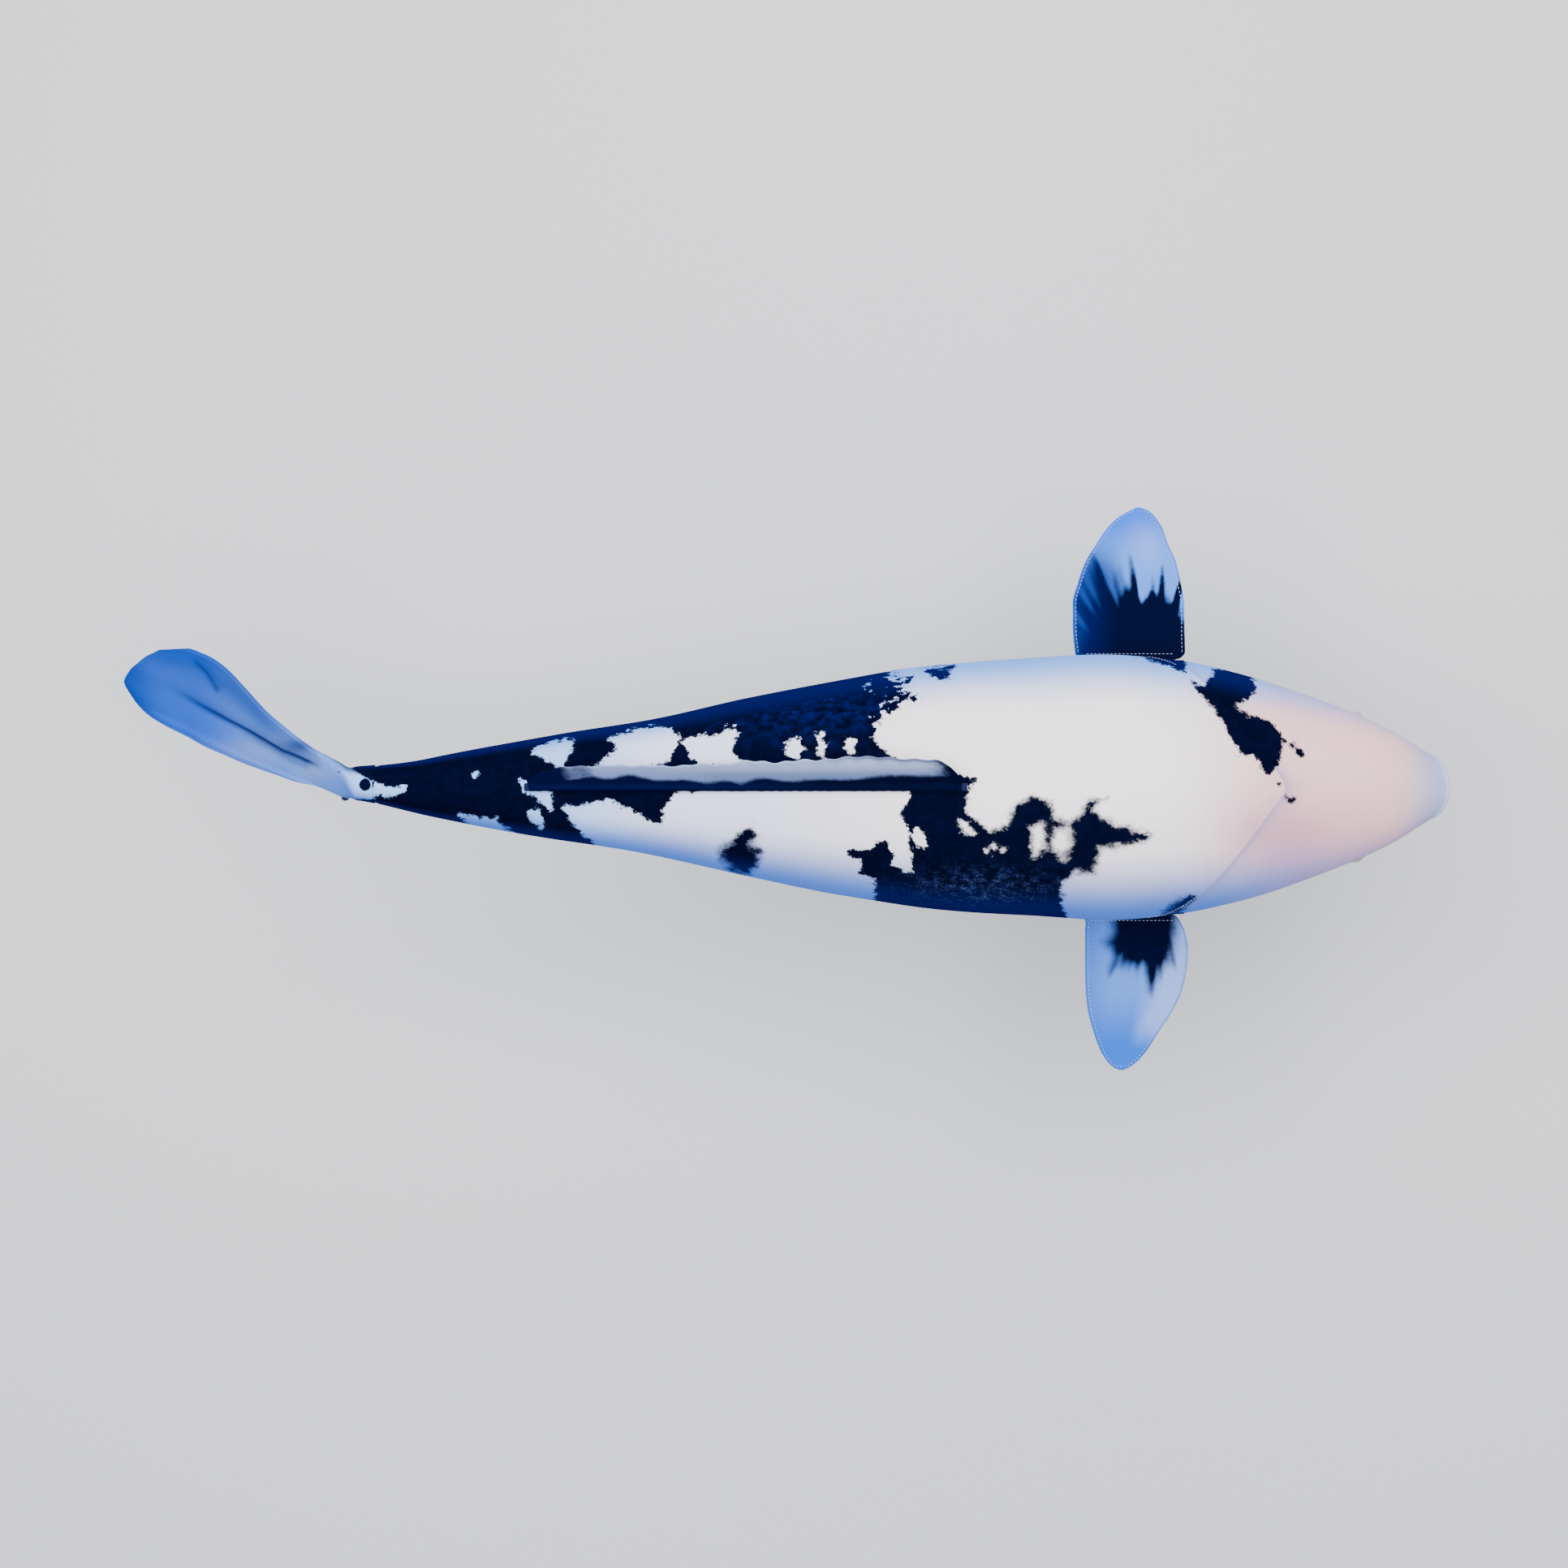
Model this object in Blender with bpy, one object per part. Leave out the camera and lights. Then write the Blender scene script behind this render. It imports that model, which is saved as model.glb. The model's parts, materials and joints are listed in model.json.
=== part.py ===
"""A carp streamer: a wind-filled fish of sewn fabric panels over hoops, with hinged fins and a swinging tail.

Metres, +Z up. The fish flies nose first along +X, its left side is +Y, and the origin is the centre of its mouth ring.
The body is a loft along s, the distance behind the mouth ring, in sections that bend on fabric gussets:
head and shoulder, middle, rear, stalk and tail fin.
"""
import bpy
import bmesh
import math
from mathutils import Matrix, Vector

for old in list(bpy.data.objects):
    bpy.data.objects.remove(old)

# ---- Driving dimensions -------------------------------------------------------------------------------------

HEAD_LENGTH = 0.182          # mouth ring to gill seam, along the flank
HEAD_TOP_SHORTER = 0.062     # how much further forward the gill seam lies on the nape
SHOULDER_LENGTH = 0.145      # gill seam to the waist bend
MIDDLE_LENGTH = 0.363        # waist bend to the rear bend
REAR_LENGTH = 0.060          # rear bend to the droop bend
STALK_LENGTH = 0.062         # droop bend to the tail root
HALF_WIDTH = 0.100           # at the widest section
HALF_HEIGHT = 0.110          # at the tallest section
FABRIC = 0.0015              # wall of every fabric panel
SEAM_GAP = 0.0003            # between pieces that touch
HEAD_STEP = 0.024            # longest facet of the panels along the body, where it curves most
SHOULDER_STEP = 0.030
MIDDLE_STEP = 0.0405

MOUTH_TILT = math.radians(40)   # the mouth ring leans back this far from upright
LIP_FABRIC = 0.0012             # of the lip hem, before and behind the ring
LIP_WALL = 0.0015               # of the lip hem, round the ring's rim
RING_INNER_RADIUS = 0.0175
RING_BAND = 0.0038              # radial width of the proud front band
RING_FLANGE = 0.0017            # radial width of the flange that the lip hem grips
RING_THICKNESS = 0.0030
RING_PROUD = 0.0020             # how far the front band stands out of the flange
BRIDLE_HOLE_RADIUS = 0.0011
BRIDLE_HOLES = 3

SEAM_ANGLE = math.radians(-25)  # the flank seams, below the widest line
TAIL_SHIFT = 0.003              # the stalk's end lies this far to the left

WAIST_SWING = math.radians(12)
REAR_SWING = math.radians(18)
DROOP_SWING = math.radians(18)
GUSSET_LENGTH = 0.005           # the gussets' shortest length, at the hinge line

HOOP_RADIUS = 0.0015            # of the rod that each body hoop is bent from
HOOP_FACET_SHARE = 0.009        # the skin's flat facets come inside its true curve by less than this share
ROD_RADIUS = 0.0015             # fin hinge rods
BATTEN_RADIUS = 0.0010
RUNNING_GAP = 0.0003            # between a rod and a sleeve that turns on it
SLEEVE_WALL = 0.0012
LOOP_LENGTH = 0.006

FIN_CHORD = 0.083               # pectoral fin, along the body
FIN_SPAN = 0.1165
FIN_BEHIND_GILL = -0.003        # leading end of the fin rod behind the gill seam
FIN_DIHEDRAL = math.radians(-8)
FIN_FABRIC = 0.0015

DORSAL_MARGIN_FRONT = 0.022     # waist bend to the dorsal rod
DORSAL_MARGIN_REAR = 0.014      # dorsal rod to the rear bend
DORSAL_HEIGHT = 0.036
DORSAL_LEAN = math.radians(35)  # towards the left, from upright

PELVIC_ANGLE = math.radians(-60)
PELVIC_BEHIND_WAIST = 0.065
PELVIC_CHORD = 0.030
PELVIC_SPAN = 0.044
ANAL_AHEAD_OF_REAR = 0.055
ANAL_CHORD = 0.042
ANAL_SPAN = 0.032
LIVING_HINGE_GAP = 0.0004       # root edge of a sewn-on fin to the skin

TAIL_ROLL = math.radians(28)    # the tail fin's upper lobe leans left from upright
TAIL_ROOT_HALF = 0.0165         # half length of the tail hinge pin's sleeve
TAIL_LENGTH = 0.164             # hinge pin to the tip of the lower lobe
TAIL_LOBE_HEIGHT = 0.068        # each lobe's reach up or down from the end of its root
TAIL_SWEEP = math.radians(20)   # the fin's root trails this far to the left at rest
TAIL_FILL = 0.010               # how far the wind bellies the fin out to the left

EYE_RADIUS = 0.0085
EYE_THICKNESS = 0.0014
PUPIL_RADIUS = 0.0046
PUPIL_THICKNESS = 0.0012
EYE_BEHIND_MOUTH = 0.050
EYE_ANGLE = math.radians(-3)

# ---- Worked out from them ------------------------------------------------------------------------------------

WAIST_AT = HEAD_LENGTH + SHOULDER_LENGTH
REAR_AT = WAIST_AT + MIDDLE_LENGTH
DROOP_AT = REAR_AT + REAR_LENGTH
BODY_LENGTH = DROOP_AT + STALK_LENGTH
LIP_HALF = RING_THICKNESS / 2 + SEAM_GAP + LIP_FABRIC
LIP_RADIUS = RING_INNER_RADIUS + RING_BAND + RING_FLANGE + SEAM_GAP + LIP_WALL
SLEEVE_RADIUS = ROD_RADIUS + RUNNING_GAP + SLEEVE_WALL
SLEEVE_BORE = ROD_RADIUS + RUNNING_GAP

# Share of the body's length; half width, half height and centre height as shares of the largest half sizes.
PROFILE = [
    (0.000, 0.248, 0.173, 0.000),
    (0.015, 0.315, 0.227, 0.009),
    (0.049, 0.475, 0.364, 0.032),
    (0.103, 0.670, 0.573, 0.055),
    (0.172, 0.855, 0.782, 0.082),
    (0.234, 0.960, 0.918, 0.100),
    (0.296, 1.000, 0.990, 0.109),
    (0.370, 0.970, 1.000, 0.114),
    (0.456, 0.920, 0.927, 0.127),
    (0.542, 0.813, 0.808, 0.150),
    (0.628, 0.675, 0.686, 0.173),
    (0.727, 0.498, 0.545, 0.195),
    (0.813, 0.390, 0.427, 0.209),
    (0.899, 0.285, 0.305, 0.218),
    (0.961, 0.178, 0.236, 0.223),
    (1.000, 0.120, 0.209, 0.227),
]


def smooth_through(xs, ys):
    """A function that passes smoothly through these points and never overshoots between them."""
    slopes = [(ys[i + 1] - ys[i]) / (xs[i + 1] - xs[i]) for i in range(len(xs) - 1)]
    tangents = [slopes[0]]
    for before, after in zip(slopes, slopes[1:]):
        tangents.append(0 if before * after <= 0 else 2 * before * after / (before + after))
    tangents.append(slopes[-1])

    def value(x):
        i = next((k for k in range(len(xs) - 2) if x < xs[k + 1]), len(xs) - 2)
        width = xs[i + 1] - xs[i]
        t = (x - xs[i]) / width
        return (ys[i] * (1 + 2 * t) * (1 - t) ** 2 + tangents[i] * width * t * (1 - t) ** 2
                + ys[i + 1] * t * t * (3 - 2 * t) + tangents[i + 1] * width * t * t * (t - 1))
    return value


def eased(t):
    t = min(max(t, 0.0), 1.0)
    return t * t * (3 - 2 * t)


SHARES = [row[0] for row in PROFILE]
WIDTH_SHARE = smooth_through(SHARES, [row[1] for row in PROFILE])
HEIGHT_SHARE = smooth_through(SHARES, [row[2] for row in PROFILE])
CENTRE_SHARE = smooth_through(SHARES, [row[3] for row in PROFILE])
LIP_SHARES = (LIP_RADIUS / HALF_WIDTH, LIP_RADIUS * math.cos(MOUTH_TILT) / HALF_HEIGHT)


def half_width(s):
    """The front end always meets the lip, whatever the body's width."""
    near_lip = 1 - eased(s / (0.25 * HEAD_LENGTH))
    return HALF_WIDTH * (WIDTH_SHARE(s / BODY_LENGTH) + near_lip * (LIP_SHARES[0] - PROFILE[0][1]))


def half_height(s):
    near_lip = 1 - eased(s / (0.25 * HEAD_LENGTH))
    return HALF_HEIGHT * (HEIGHT_SHARE(s / BODY_LENGTH) + near_lip * (LIP_SHARES[1] - PROFILE[0][2]))


def centre_height(s):
    return HALF_HEIGHT * CENTRE_SHARE(s / BODY_LENGTH)


def lean_forward(s):
    """How far a section's top lies ahead for each unit of height: the mouth's tilt, fading out behind the eyes."""
    return math.tan(MOUTH_TILT) * (1 - eased(s / (0.7 * HEAD_LENGTH)))


def shift_left(s):
    return TAIL_SHIFT * eased((s - REAR_AT) / (BODY_LENGTH - REAR_AT))


def skin(s, angle, inset=0.0):
    """A point of the body: angle 0 is the left flank, and 90 degrees the back."""
    across = (half_width(s) - inset) * math.cos(angle)
    up = (half_height(s) - inset) * math.sin(angle)
    return Vector((-s + lean_forward(s) * up, shift_left(s) + across, centre_height(s) + up))


def skin_normal(s, angle):
    return Vector((0, math.cos(angle) / half_width(s), math.sin(angle) / half_height(s))).normalized()


# ---- Building blocks ------------------------------------------------------------------------------------------

def material(name, colour, roughness, metallic=0.0):
    made = bpy.data.materials.new(name)
    made.use_nodes = True
    shader = made.node_tree.nodes["Principled BSDF"]
    shader.inputs["Base Color"].default_value = (*colour, 1)
    shader.inputs["Roughness"].default_value = roughness
    shader.inputs["Metallic"].default_value = metallic
    return made


WHITE_FABRIC = material("white_fabric", (0.84, 0.80, 0.82), 0.75)
INK_FABRIC = material("ink_fabric", (0.01, 0.03, 0.12), 0.75)
BLUE_FABRIC = material("blue_fabric", (0.16, 0.35, 0.72), 0.7)
FIBREGLASS = material("fibreglass", (0.75, 0.74, 0.68), 0.4)
MOULDED_RING = material("moulded_ring", (0.80, 0.82, 0.86), 0.35)
WEBBING = material("webbing", (0.12, 0.22, 0.50), 0.85)
EYE_WHITE = material("eye_white", (0.85, 0.83, 0.76), 0.3)
EYE_BLACK = material("eye_black", (0.01, 0.01, 0.015), 0.15)


def add(name, mesh, look, flat=False):
    made = bpy.data.objects.new(name, mesh)
    bpy.context.scene.collection.objects.link(made)
    mesh.materials.append(look)
    if not flat:
        mesh.shade_smooth()
        mesh.set_sharp_from_angle(angle=math.radians(40))
    return made


def mesh_from(work, name):
    work.normal_update()
    bmesh.ops.recalc_face_normals(work, faces=work.faces)
    mesh = bpy.data.meshes.new(name)
    work.to_mesh(mesh)
    work.free()
    return mesh


def between(name, outer, inner, look, ring=False):
    """The closed solid between two grids of points, in rows; a ring's rows join up with themselves."""
    work = bmesh.new()
    grids = [[[work.verts.new(p) for p in row] for row in grid] for grid in (outer, inner)]
    rows, columns = len(outer), len(outer[0])
    steps = columns if ring else columns - 1
    for grid in grids:
        for i in range(rows - 1):
            for j in range(steps):
                k = (j + 1) % columns
                work.faces.new((grid[i][j], grid[i][k], grid[i + 1][k], grid[i + 1][j]))
    for i in (0, rows - 1):
        for j in range(steps):
            k = (j + 1) % columns
            work.faces.new((grids[0][i][j], grids[0][i][k], grids[1][i][k], grids[1][i][j]))
    if not ring:
        for j in (0, columns - 1):
            for i in range(rows - 1):
                work.faces.new((grids[0][i][j], grids[0][i + 1][j], grids[1][i + 1][j], grids[1][i][j]))
    return add(name, mesh_from(work, name), look)


def panel(name, look, start, end, from_angle, to_angle, rows, columns):
    """A body panel between two seams. start and end give s at each angle."""
    def point(i, j, inset):
        share = j / (columns - 1)
        angle = from_angle + (to_angle - from_angle) * share
        s = start(angle) + (end(angle) - start(angle)) * i / (rows - 1)
        seam = SEAM_GAP / 2 / (half_width(s) - FABRIC)
        return skin(s, angle + seam * (1 - 2 * share), inset)

    grids = [[[point(i, j, inset) for j in range(columns)] for i in range(rows)] for inset in (0, FABRIC)]
    return between(name, *grids, look)


def tube(name, look, start, end, rows, columns=32):
    """A body section sewn as one sleeve."""
    def point(i, j, inset):
        angle = 2 * math.pi * j / columns
        return skin(start(angle) + (end(angle) - start(angle)) * i / (rows - 1), angle, inset)

    grids = [[[point(i, j, inset) for j in range(columns)] for i in range(rows)] for inset in (0, FABRIC)]
    return between(name, *grids, look, ring=True)


def rod(name, look, points, radius, sides=10, closed=False):
    """A round rod along these points, with flat ends, or joined up as a hoop."""
    curve = bpy.data.curves.new(name, "CURVE")
    curve.dimensions = "3D"
    curve.bevel_depth = radius
    curve.bevel_resolution = max(0, sides // 2 - 2)
    curve.use_fill_caps = not closed
    spline = curve.splines.new("POLY")
    spline.points.add(len(points) - 1)
    for target, point in zip(spline.points, points):
        target.co = (*point, 1)
    spline.use_cyclic_u = closed
    made = bpy.data.objects.new(name, curve)
    bpy.context.scene.collection.objects.link(made)
    curve.materials.append(look)
    return made


def frame_on(origin, along, out):
    """A matrix with X along a hinge, Y out along the fin and Z through its thickness."""
    x = Vector(along).normalized()
    z = x.cross(Vector(out)).normalized()
    y = z.cross(x)
    made = Matrix((x, y, z)).transposed().to_4x4()
    made.translation = origin
    return made


def turned(name, look, profile, place, sides=32):
    """A ring: a closed outline of (radius, height) turned about the local Z axis."""
    work = bmesh.new()
    rings = [[work.verts.new((r * math.cos(2 * math.pi * k / sides), r * math.sin(2 * math.pi * k / sides), h))
              for r, h in profile] for k in range(sides)]
    count = len(profile)
    for k in range(sides):
        here, there = rings[k], rings[(k + 1) % sides]
        for i in range(count):
            j = (i + 1) % count
            work.faces.new((here[i], here[j], there[j], there[i]))
    work.transform(place)
    return add(name, mesh_from(work, name), look)


def disc(name, look, radius, thickness, place, rim=0.35, sides=28):
    """A round button with a bevelled front edge, standing on the local XY plane."""
    levels = [(radius, 0), (radius, thickness * (1 - rim)), (radius - thickness * rim, thickness)]
    work = bmesh.new()
    rings = [[work.verts.new((r * math.cos(2 * math.pi * k / sides), r * math.sin(2 * math.pi * k / sides), h))
              for k in range(sides)] for r, h in levels]
    for lower, upper in zip(rings, rings[1:]):
        for k in range(sides):
            work.faces.new((lower[k], lower[(k + 1) % sides], upper[(k + 1) % sides], upper[k]))
    work.faces.new(rings[0])
    work.faces.new(rings[-1])
    work.transform(place)
    return add(name, mesh_from(work, name), look)


def sleeve_profile(length, bore=None, radius=None):
    bore, radius = bore or SLEEVE_BORE, radius or SLEEVE_RADIUS
    return [(bore, -length / 2), (radius, -length / 2), (radius, length / 2), (bore, length / 2)]


def about_x(place):
    """Turns a local Z axis onto the hinge's X axis."""
    return place @ Matrix.Rotation(math.radians(90), 4, "Y")


def curved_outline(points, per_span=4):
    """A closed outline that curves through these points, with its root edge, last to first, left straight."""
    made = []
    for i in range(len(points) - 1):
        p0, p1 = Vector(points[max(i - 1, 0)]), Vector(points[i])
        p2, p3 = Vector(points[i + 1]), Vector(points[min(i + 2, len(points) - 1)])
        for k in range(per_span):
            t = k / per_span
            made.append(0.5 * ((2 * p1) + (p2 - p0) * t + (2 * p0 - 5 * p1 + 4 * p2 - p3) * t * t
                               + (3 * p1 - p0 - 3 * p2 + p3) * t ** 3))
    made.append(Vector(points[-1]))
    return made


def flat_fin(name, look, outline, place, thickness=FIN_FABRIC):
    """A flat fin cut to an outline in its hinge frame."""
    work = bmesh.new()
    verts = [work.verts.new((p.x, p.y, -thickness / 2)) for p in outline]
    base = work.faces.new(verts)
    raised = bmesh.ops.extrude_face_region(work, geom=[base])
    top = [v for v in raised["geom"] if isinstance(v, bmesh.types.BMVert)]
    bmesh.ops.translate(work, verts=top, vec=(0, 0, thickness))
    work.transform(place)
    return add(name, mesh_from(work, name), look)


def join(target, other):
    """Sews a helper solid onto a piece."""
    other.hide_render = True
    other.display_type = "WIRE"
    union = target.modifiers.new("join_" + other.name, "BOOLEAN")
    union.operation = "UNION"
    union.solver = "EXACT"
    union.object = other


def hinge_loops(names, look, place, length):
    """The two sewn loops that hold a hinge rod's ends on the body."""
    for name, side in zip(names, (1, -1)):
        centre = Matrix.Translation((side * (length + LOOP_LENGTH) / 2, 0, 0))
        turned(name, look, sleeve_profile(LOOP_LENGTH), about_x(place @ centre), sides=16)


def hinged_fin(prefix, outline, place, root, look):
    """A fin on a rod: rod and two loops on the body, and a membrane with a sleeve that turns on the rod."""
    reach = root / 2 + LOOP_LENGTH + SEAM_GAP
    rod(prefix + "_hinge_rod", FIBREGLASS, [place @ Vector((x, 0, 0)) for x in (-reach, reach)], ROD_RADIUS)
    hinge_loops([prefix + "_front_loop", prefix + "_rear_loop"], WEBBING, place, root + 2 * SEAM_GAP)
    membrane = flat_fin(prefix + "_membrane", look, outline, place)
    sleeve = turned(prefix + "_sleeve", look, sleeve_profile(root), about_x(place), sides=16)
    join(membrane, sleeve)
    return membrane


# ---- Mouth ----------------------------------------------------------------------------------------------------

MOUTH = Matrix.Rotation(math.radians(90) + MOUTH_TILT, 4, "Y")   # local Z looks forward and down


def mouth():
    flange = RING_INNER_RADIUS + RING_BAND + RING_FLANGE
    band = RING_INNER_RADIUS + RING_BAND
    half = RING_THICKNESS / 2
    ring = turned("mouth_ring", MOULDED_RING, [
        (RING_INNER_RADIUS, -half), (flange, -half), (flange, half),
        (band, half), (band, half + RING_PROUD), (RING_INNER_RADIUS, half + RING_PROUD)], MOUTH, sides=40)
    hole_circle = RING_INNER_RADIUS + RING_BAND / 2
    for k in range(BRIDLE_HOLES):
        turn = math.radians(180) + 2 * math.pi * k / BRIDLE_HOLES
        work = bmesh.new()
        bmesh.ops.create_cone(work, cap_ends=True, segments=12, radius1=BRIDLE_HOLE_RADIUS,
                              radius2=BRIDLE_HOLE_RADIUS, depth=4 * RING_THICKNESS)
        spot = Vector((hole_circle * math.cos(turn), hole_circle * math.sin(turn), 0))
        work.transform(MOUTH @ Matrix.Translation(spot))
        drill = add(f"bridle_drill_{k}", mesh_from(work, "drill"), MOULDED_RING)
        drill.hide_render = True
        drill.display_type = "WIRE"
        cut = ring.modifiers.new(f"bridle_hole_{k}", "BOOLEAN")
        cut.operation = "DIFFERENCE"
        cut.solver = "EXACT"
        cut.object = drill

    grip = band + SEAM_GAP
    turned("lip_hem", WHITE_FABRIC, [
        (grip, -LIP_HALF), (LIP_RADIUS, -LIP_HALF), (LIP_RADIUS, LIP_HALF), (grip, LIP_HALF),
        (grip, half + SEAM_GAP), (flange + SEAM_GAP, half + SEAM_GAP),
        (flange + SEAM_GAP, -half - SEAM_GAP), (grip, -half - SEAM_GAP)], MOUTH, sides=40)


# ---- Body panels ----------------------------------------------------------------------------------------------

BACK = math.radians(90)
LEFT_SEAM = SEAM_ANGLE
RIGHT_SEAM = math.radians(180) - SEAM_ANGLE


def at(s):
    return lambda angle: s


def gill_seam(angle):
    """The seam behind the head leans forward over the nape."""
    return HEAD_LENGTH - HEAD_TOP_SHORTER * eased(math.sin(angle))


def after_bend(s, swing, upright):
    """A section's leading edge behind a bend, cut back to a V so that it can swing without touching."""
    def start(angle):
        if upright:
            arm = abs(half_width(s) * math.cos(angle))
        else:
            arm = abs(half_height(s) * math.sin(angle))
        return s + GUSSET_LENGTH + arm * math.tan(swing)
    return start


def rows_in(length, step):
    return 1 + math.ceil(length / step)


def three_panels(left, right, belly, look, start, end, rows, columns=11):
    panel(left, look, start, end, LEFT_SEAM, BACK, rows, columns)
    panel(right, look, start, end, BACK, RIGHT_SEAM, rows, columns)
    panel(belly, look, start, end, RIGHT_SEAM, LEFT_SEAM + 2 * math.pi, rows, columns)


def gusset(name, s, after):
    """The soft band that closes the V behind a bend."""
    tube(name, INK_FABRIC, at(s + SEAM_GAP), lambda angle: after(angle) - SEAM_GAP, rows=3)


def body():
    lip_edge = (LIP_HALF + SEAM_GAP) / math.cos(MOUTH_TILT)
    waist = after_bend(WAIST_AT, WAIST_SWING, upright=True)
    rear = after_bend(REAR_AT, REAR_SWING, upright=True)
    droop = after_bend(DROOP_AT, DROOP_SWING, upright=False)
    behind_gill = lambda angle: gill_seam(angle) + SEAM_GAP
    three_panels("head_left_panel", "head_right_panel", "throat_panel", WHITE_FABRIC,
                 at(lip_edge), gill_seam, rows_in(HEAD_LENGTH, HEAD_STEP))
    three_panels("shoulder_left_panel", "shoulder_right_panel", "chest_panel", WHITE_FABRIC,
                 behind_gill, at(WAIST_AT), rows_in(SHOULDER_LENGTH, SHOULDER_STEP))
    three_panels("middle_left_panel", "middle_right_panel", "belly_panel", INK_FABRIC,
                 waist, at(REAR_AT), rows_in(MIDDLE_LENGTH, MIDDLE_STEP))
    tube("rear_sleeve", INK_FABRIC, rear, at(DROOP_AT), rows=4)
    tube("stalk_sleeve", INK_FABRIC, droop, at(BODY_LENGTH), rows=4)
    gusset("waist_gusset", WAIST_AT, waist)
    gusset("rear_gusset", REAR_AT, rear)
    gusset("droop_gusset", DROOP_AT, droop)


def hoop(name, s, sides=36):
    facets = HOOP_FACET_SHARE * max(half_width(s), half_height(s))
    inset = FABRIC + SEAM_GAP + facets + HOOP_RADIUS
    rod(name, FIBREGLASS, [skin(s, 2 * math.pi * k / sides, inset) for k in range(sides)],
        HOOP_RADIUS, sides=6, closed=True)


def hoops():
    clear = HOOP_RADIUS + 0.004
    hoop("gill_hoop", HEAD_LENGTH + 0.020)
    hoop("waist_front_hoop", WAIST_AT - clear)
    hoop("waist_rear_hoop", WAIST_AT + GUSSET_LENGTH + HALF_WIDTH * math.tan(WAIST_SWING) + clear)
    hoop("middle_hoop", WAIST_AT + 0.52 * MIDDLE_LENGTH)
    hoop("rear_hoop", REAR_AT - clear, sides=28)
    hoop("stalk_hoop", DROOP_AT - clear, sides=24)
    hoop("tail_hoop", BODY_LENGTH - clear, sides=24)


# ---- Eyes -----------------------------------------------------------------------------------------------------

def eyes():
    for side, angle in (("left", EYE_ANGLE), ("right", math.radians(180) - EYE_ANGLE)):
        step = 0.002
        along = skin(EYE_BEHIND_MOUTH - step, angle) - skin(EYE_BEHIND_MOUTH + step, angle)
        round_it = skin(EYE_BEHIND_MOUTH, angle + 0.02) - skin(EYE_BEHIND_MOUTH, angle - 0.02)
        out = along.cross(round_it).normalized()
        if out.y * math.cos(angle) < 0:
            out = -out
        place = out.to_track_quat("Z", "X").to_matrix().to_4x4()
        place.translation = skin(EYE_BEHIND_MOUTH, angle) + out * SEAM_GAP
        disc(side + "_eye_iris", EYE_WHITE, EYE_RADIUS, EYE_THICKNESS, place)
        on_top = place @ Matrix.Translation((0, 0, EYE_THICKNESS + SEAM_GAP))
        disc(side + "_eye_pupil", EYE_BLACK, PUPIL_RADIUS, PUPIL_THICKNESS, on_top)


# ---- Pectoral fins --------------------------------------------------------------------------------------------

# Along the hinge in half chords, then out in spans; the first point is the leading end of the root.
LEFT_FIN = [(0.98, 0.02), (0.97, 0.25), (0.90, 0.44), (0.75, 0.68), (0.53, 0.88), (0.17, 0.995), (-0.22, 0.93),
            (-0.60, 0.76), (-0.91, 0.54), (-1.03, 0.30), (-0.98, 0.02)]
RIGHT_FIN = [(0.98, 0.02), (1.02, 0.17), (1.03, 0.28), (0.96, 0.44), (0.73, 0.64), (0.41, 0.82), (0.12, 0.95),
             (-0.17, 1.01), (-0.46, 0.95), (-0.65, 0.81), (-0.77, 0.64), (-0.84, 0.42), (-0.98, 0.02)]


def pectoral_place(side):
    """The hinge line under the flank seam, straight along the body."""
    front = HEAD_LENGTH + FIN_BEHIND_GILL
    stations = [front + FIN_CHORD * k / 8 for k in range(9)]
    middle = front + FIN_CHORD / 2
    out = skin_normal(middle, SEAM_ANGLE)
    seat = SLEEVE_RADIUS + 2 * SEAM_GAP
    reach = max((skin(s, SEAM_ANGLE) - skin(middle, SEAM_ANGLE)).dot(out) for s in stations)
    centre = skin(middle, SEAM_ANGLE) + out * (seat + reach)
    centre.x = -middle
    spread = Vector((0, side * math.cos(FIN_DIHEDRAL), math.sin(FIN_DIHEDRAL)))
    return frame_on(Vector((centre.x, side * centre.y, centre.z)), (1, 0, 0), spread)


def pectoral_fins():
    for prefix, side, outline in (("left_pectoral", 1, LEFT_FIN), ("right_pectoral", -1, RIGHT_FIN)):
        place = pectoral_place(side)
        start = SLEEVE_BORE + SLEEVE_WALL / 2
        root = FIN_CHORD - 2 * (LOOP_LENGTH + SEAM_GAP)
        points = [(p * FIN_CHORD / 2, start + q * FIN_SPAN) for p, q in outline]
        points[0] = (min(points[0][0], root / 2 - SEAM_GAP), start)
        points[-1] = (max(points[-1][0], SEAM_GAP - root / 2), start)
        shoulder = SLEEVE_RADIUS + RUNNING_GAP + 0.002
        cut = [points[0], (points[0][0], shoulder)] + [(x, max(y, shoulder + 0.002)) for x, y in points[1:-1]]
        cut += [(points[-1][0], shoulder), points[-1]]
        hinged_fin(prefix, [Vector((x, y)) for x, y in cut[:2]] + curved_outline(cut[2:-2])
                   + [Vector((x, y)) for x, y in cut[-2:]], place, root, BLUE_FABRIC)
        drop = -side * (FIN_FABRIC / 2 + SEAM_GAP + BATTEN_RADIUS)
        lead = [(p * FIN_CHORD / 2 - 0.006, start + q * FIN_SPAN) for p, q in outline[1:5]]
        rod(prefix + "_spar", FIBREGLASS,
            [place @ Vector((x, y, drop)) for x, y in [(lead[0][0], SLEEVE_RADIUS + 0.003)] + lead],
            BATTEN_RADIUS, sides=8)


# ---- Dorsal fin -----------------------------------------------------------------------------------------------

# Share of the rod's length from its front end, then share of the fin's height.
DORSAL_FIN = [(0.03, 0.30), (0.08, 0.72), (0.16, 0.96), (0.32, 1.00), (0.55, 0.97), (0.78, 0.90), (0.93, 0.98),
              (1.01, 1.15), (0.985, 0.62), (0.955, 0.30)]


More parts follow.
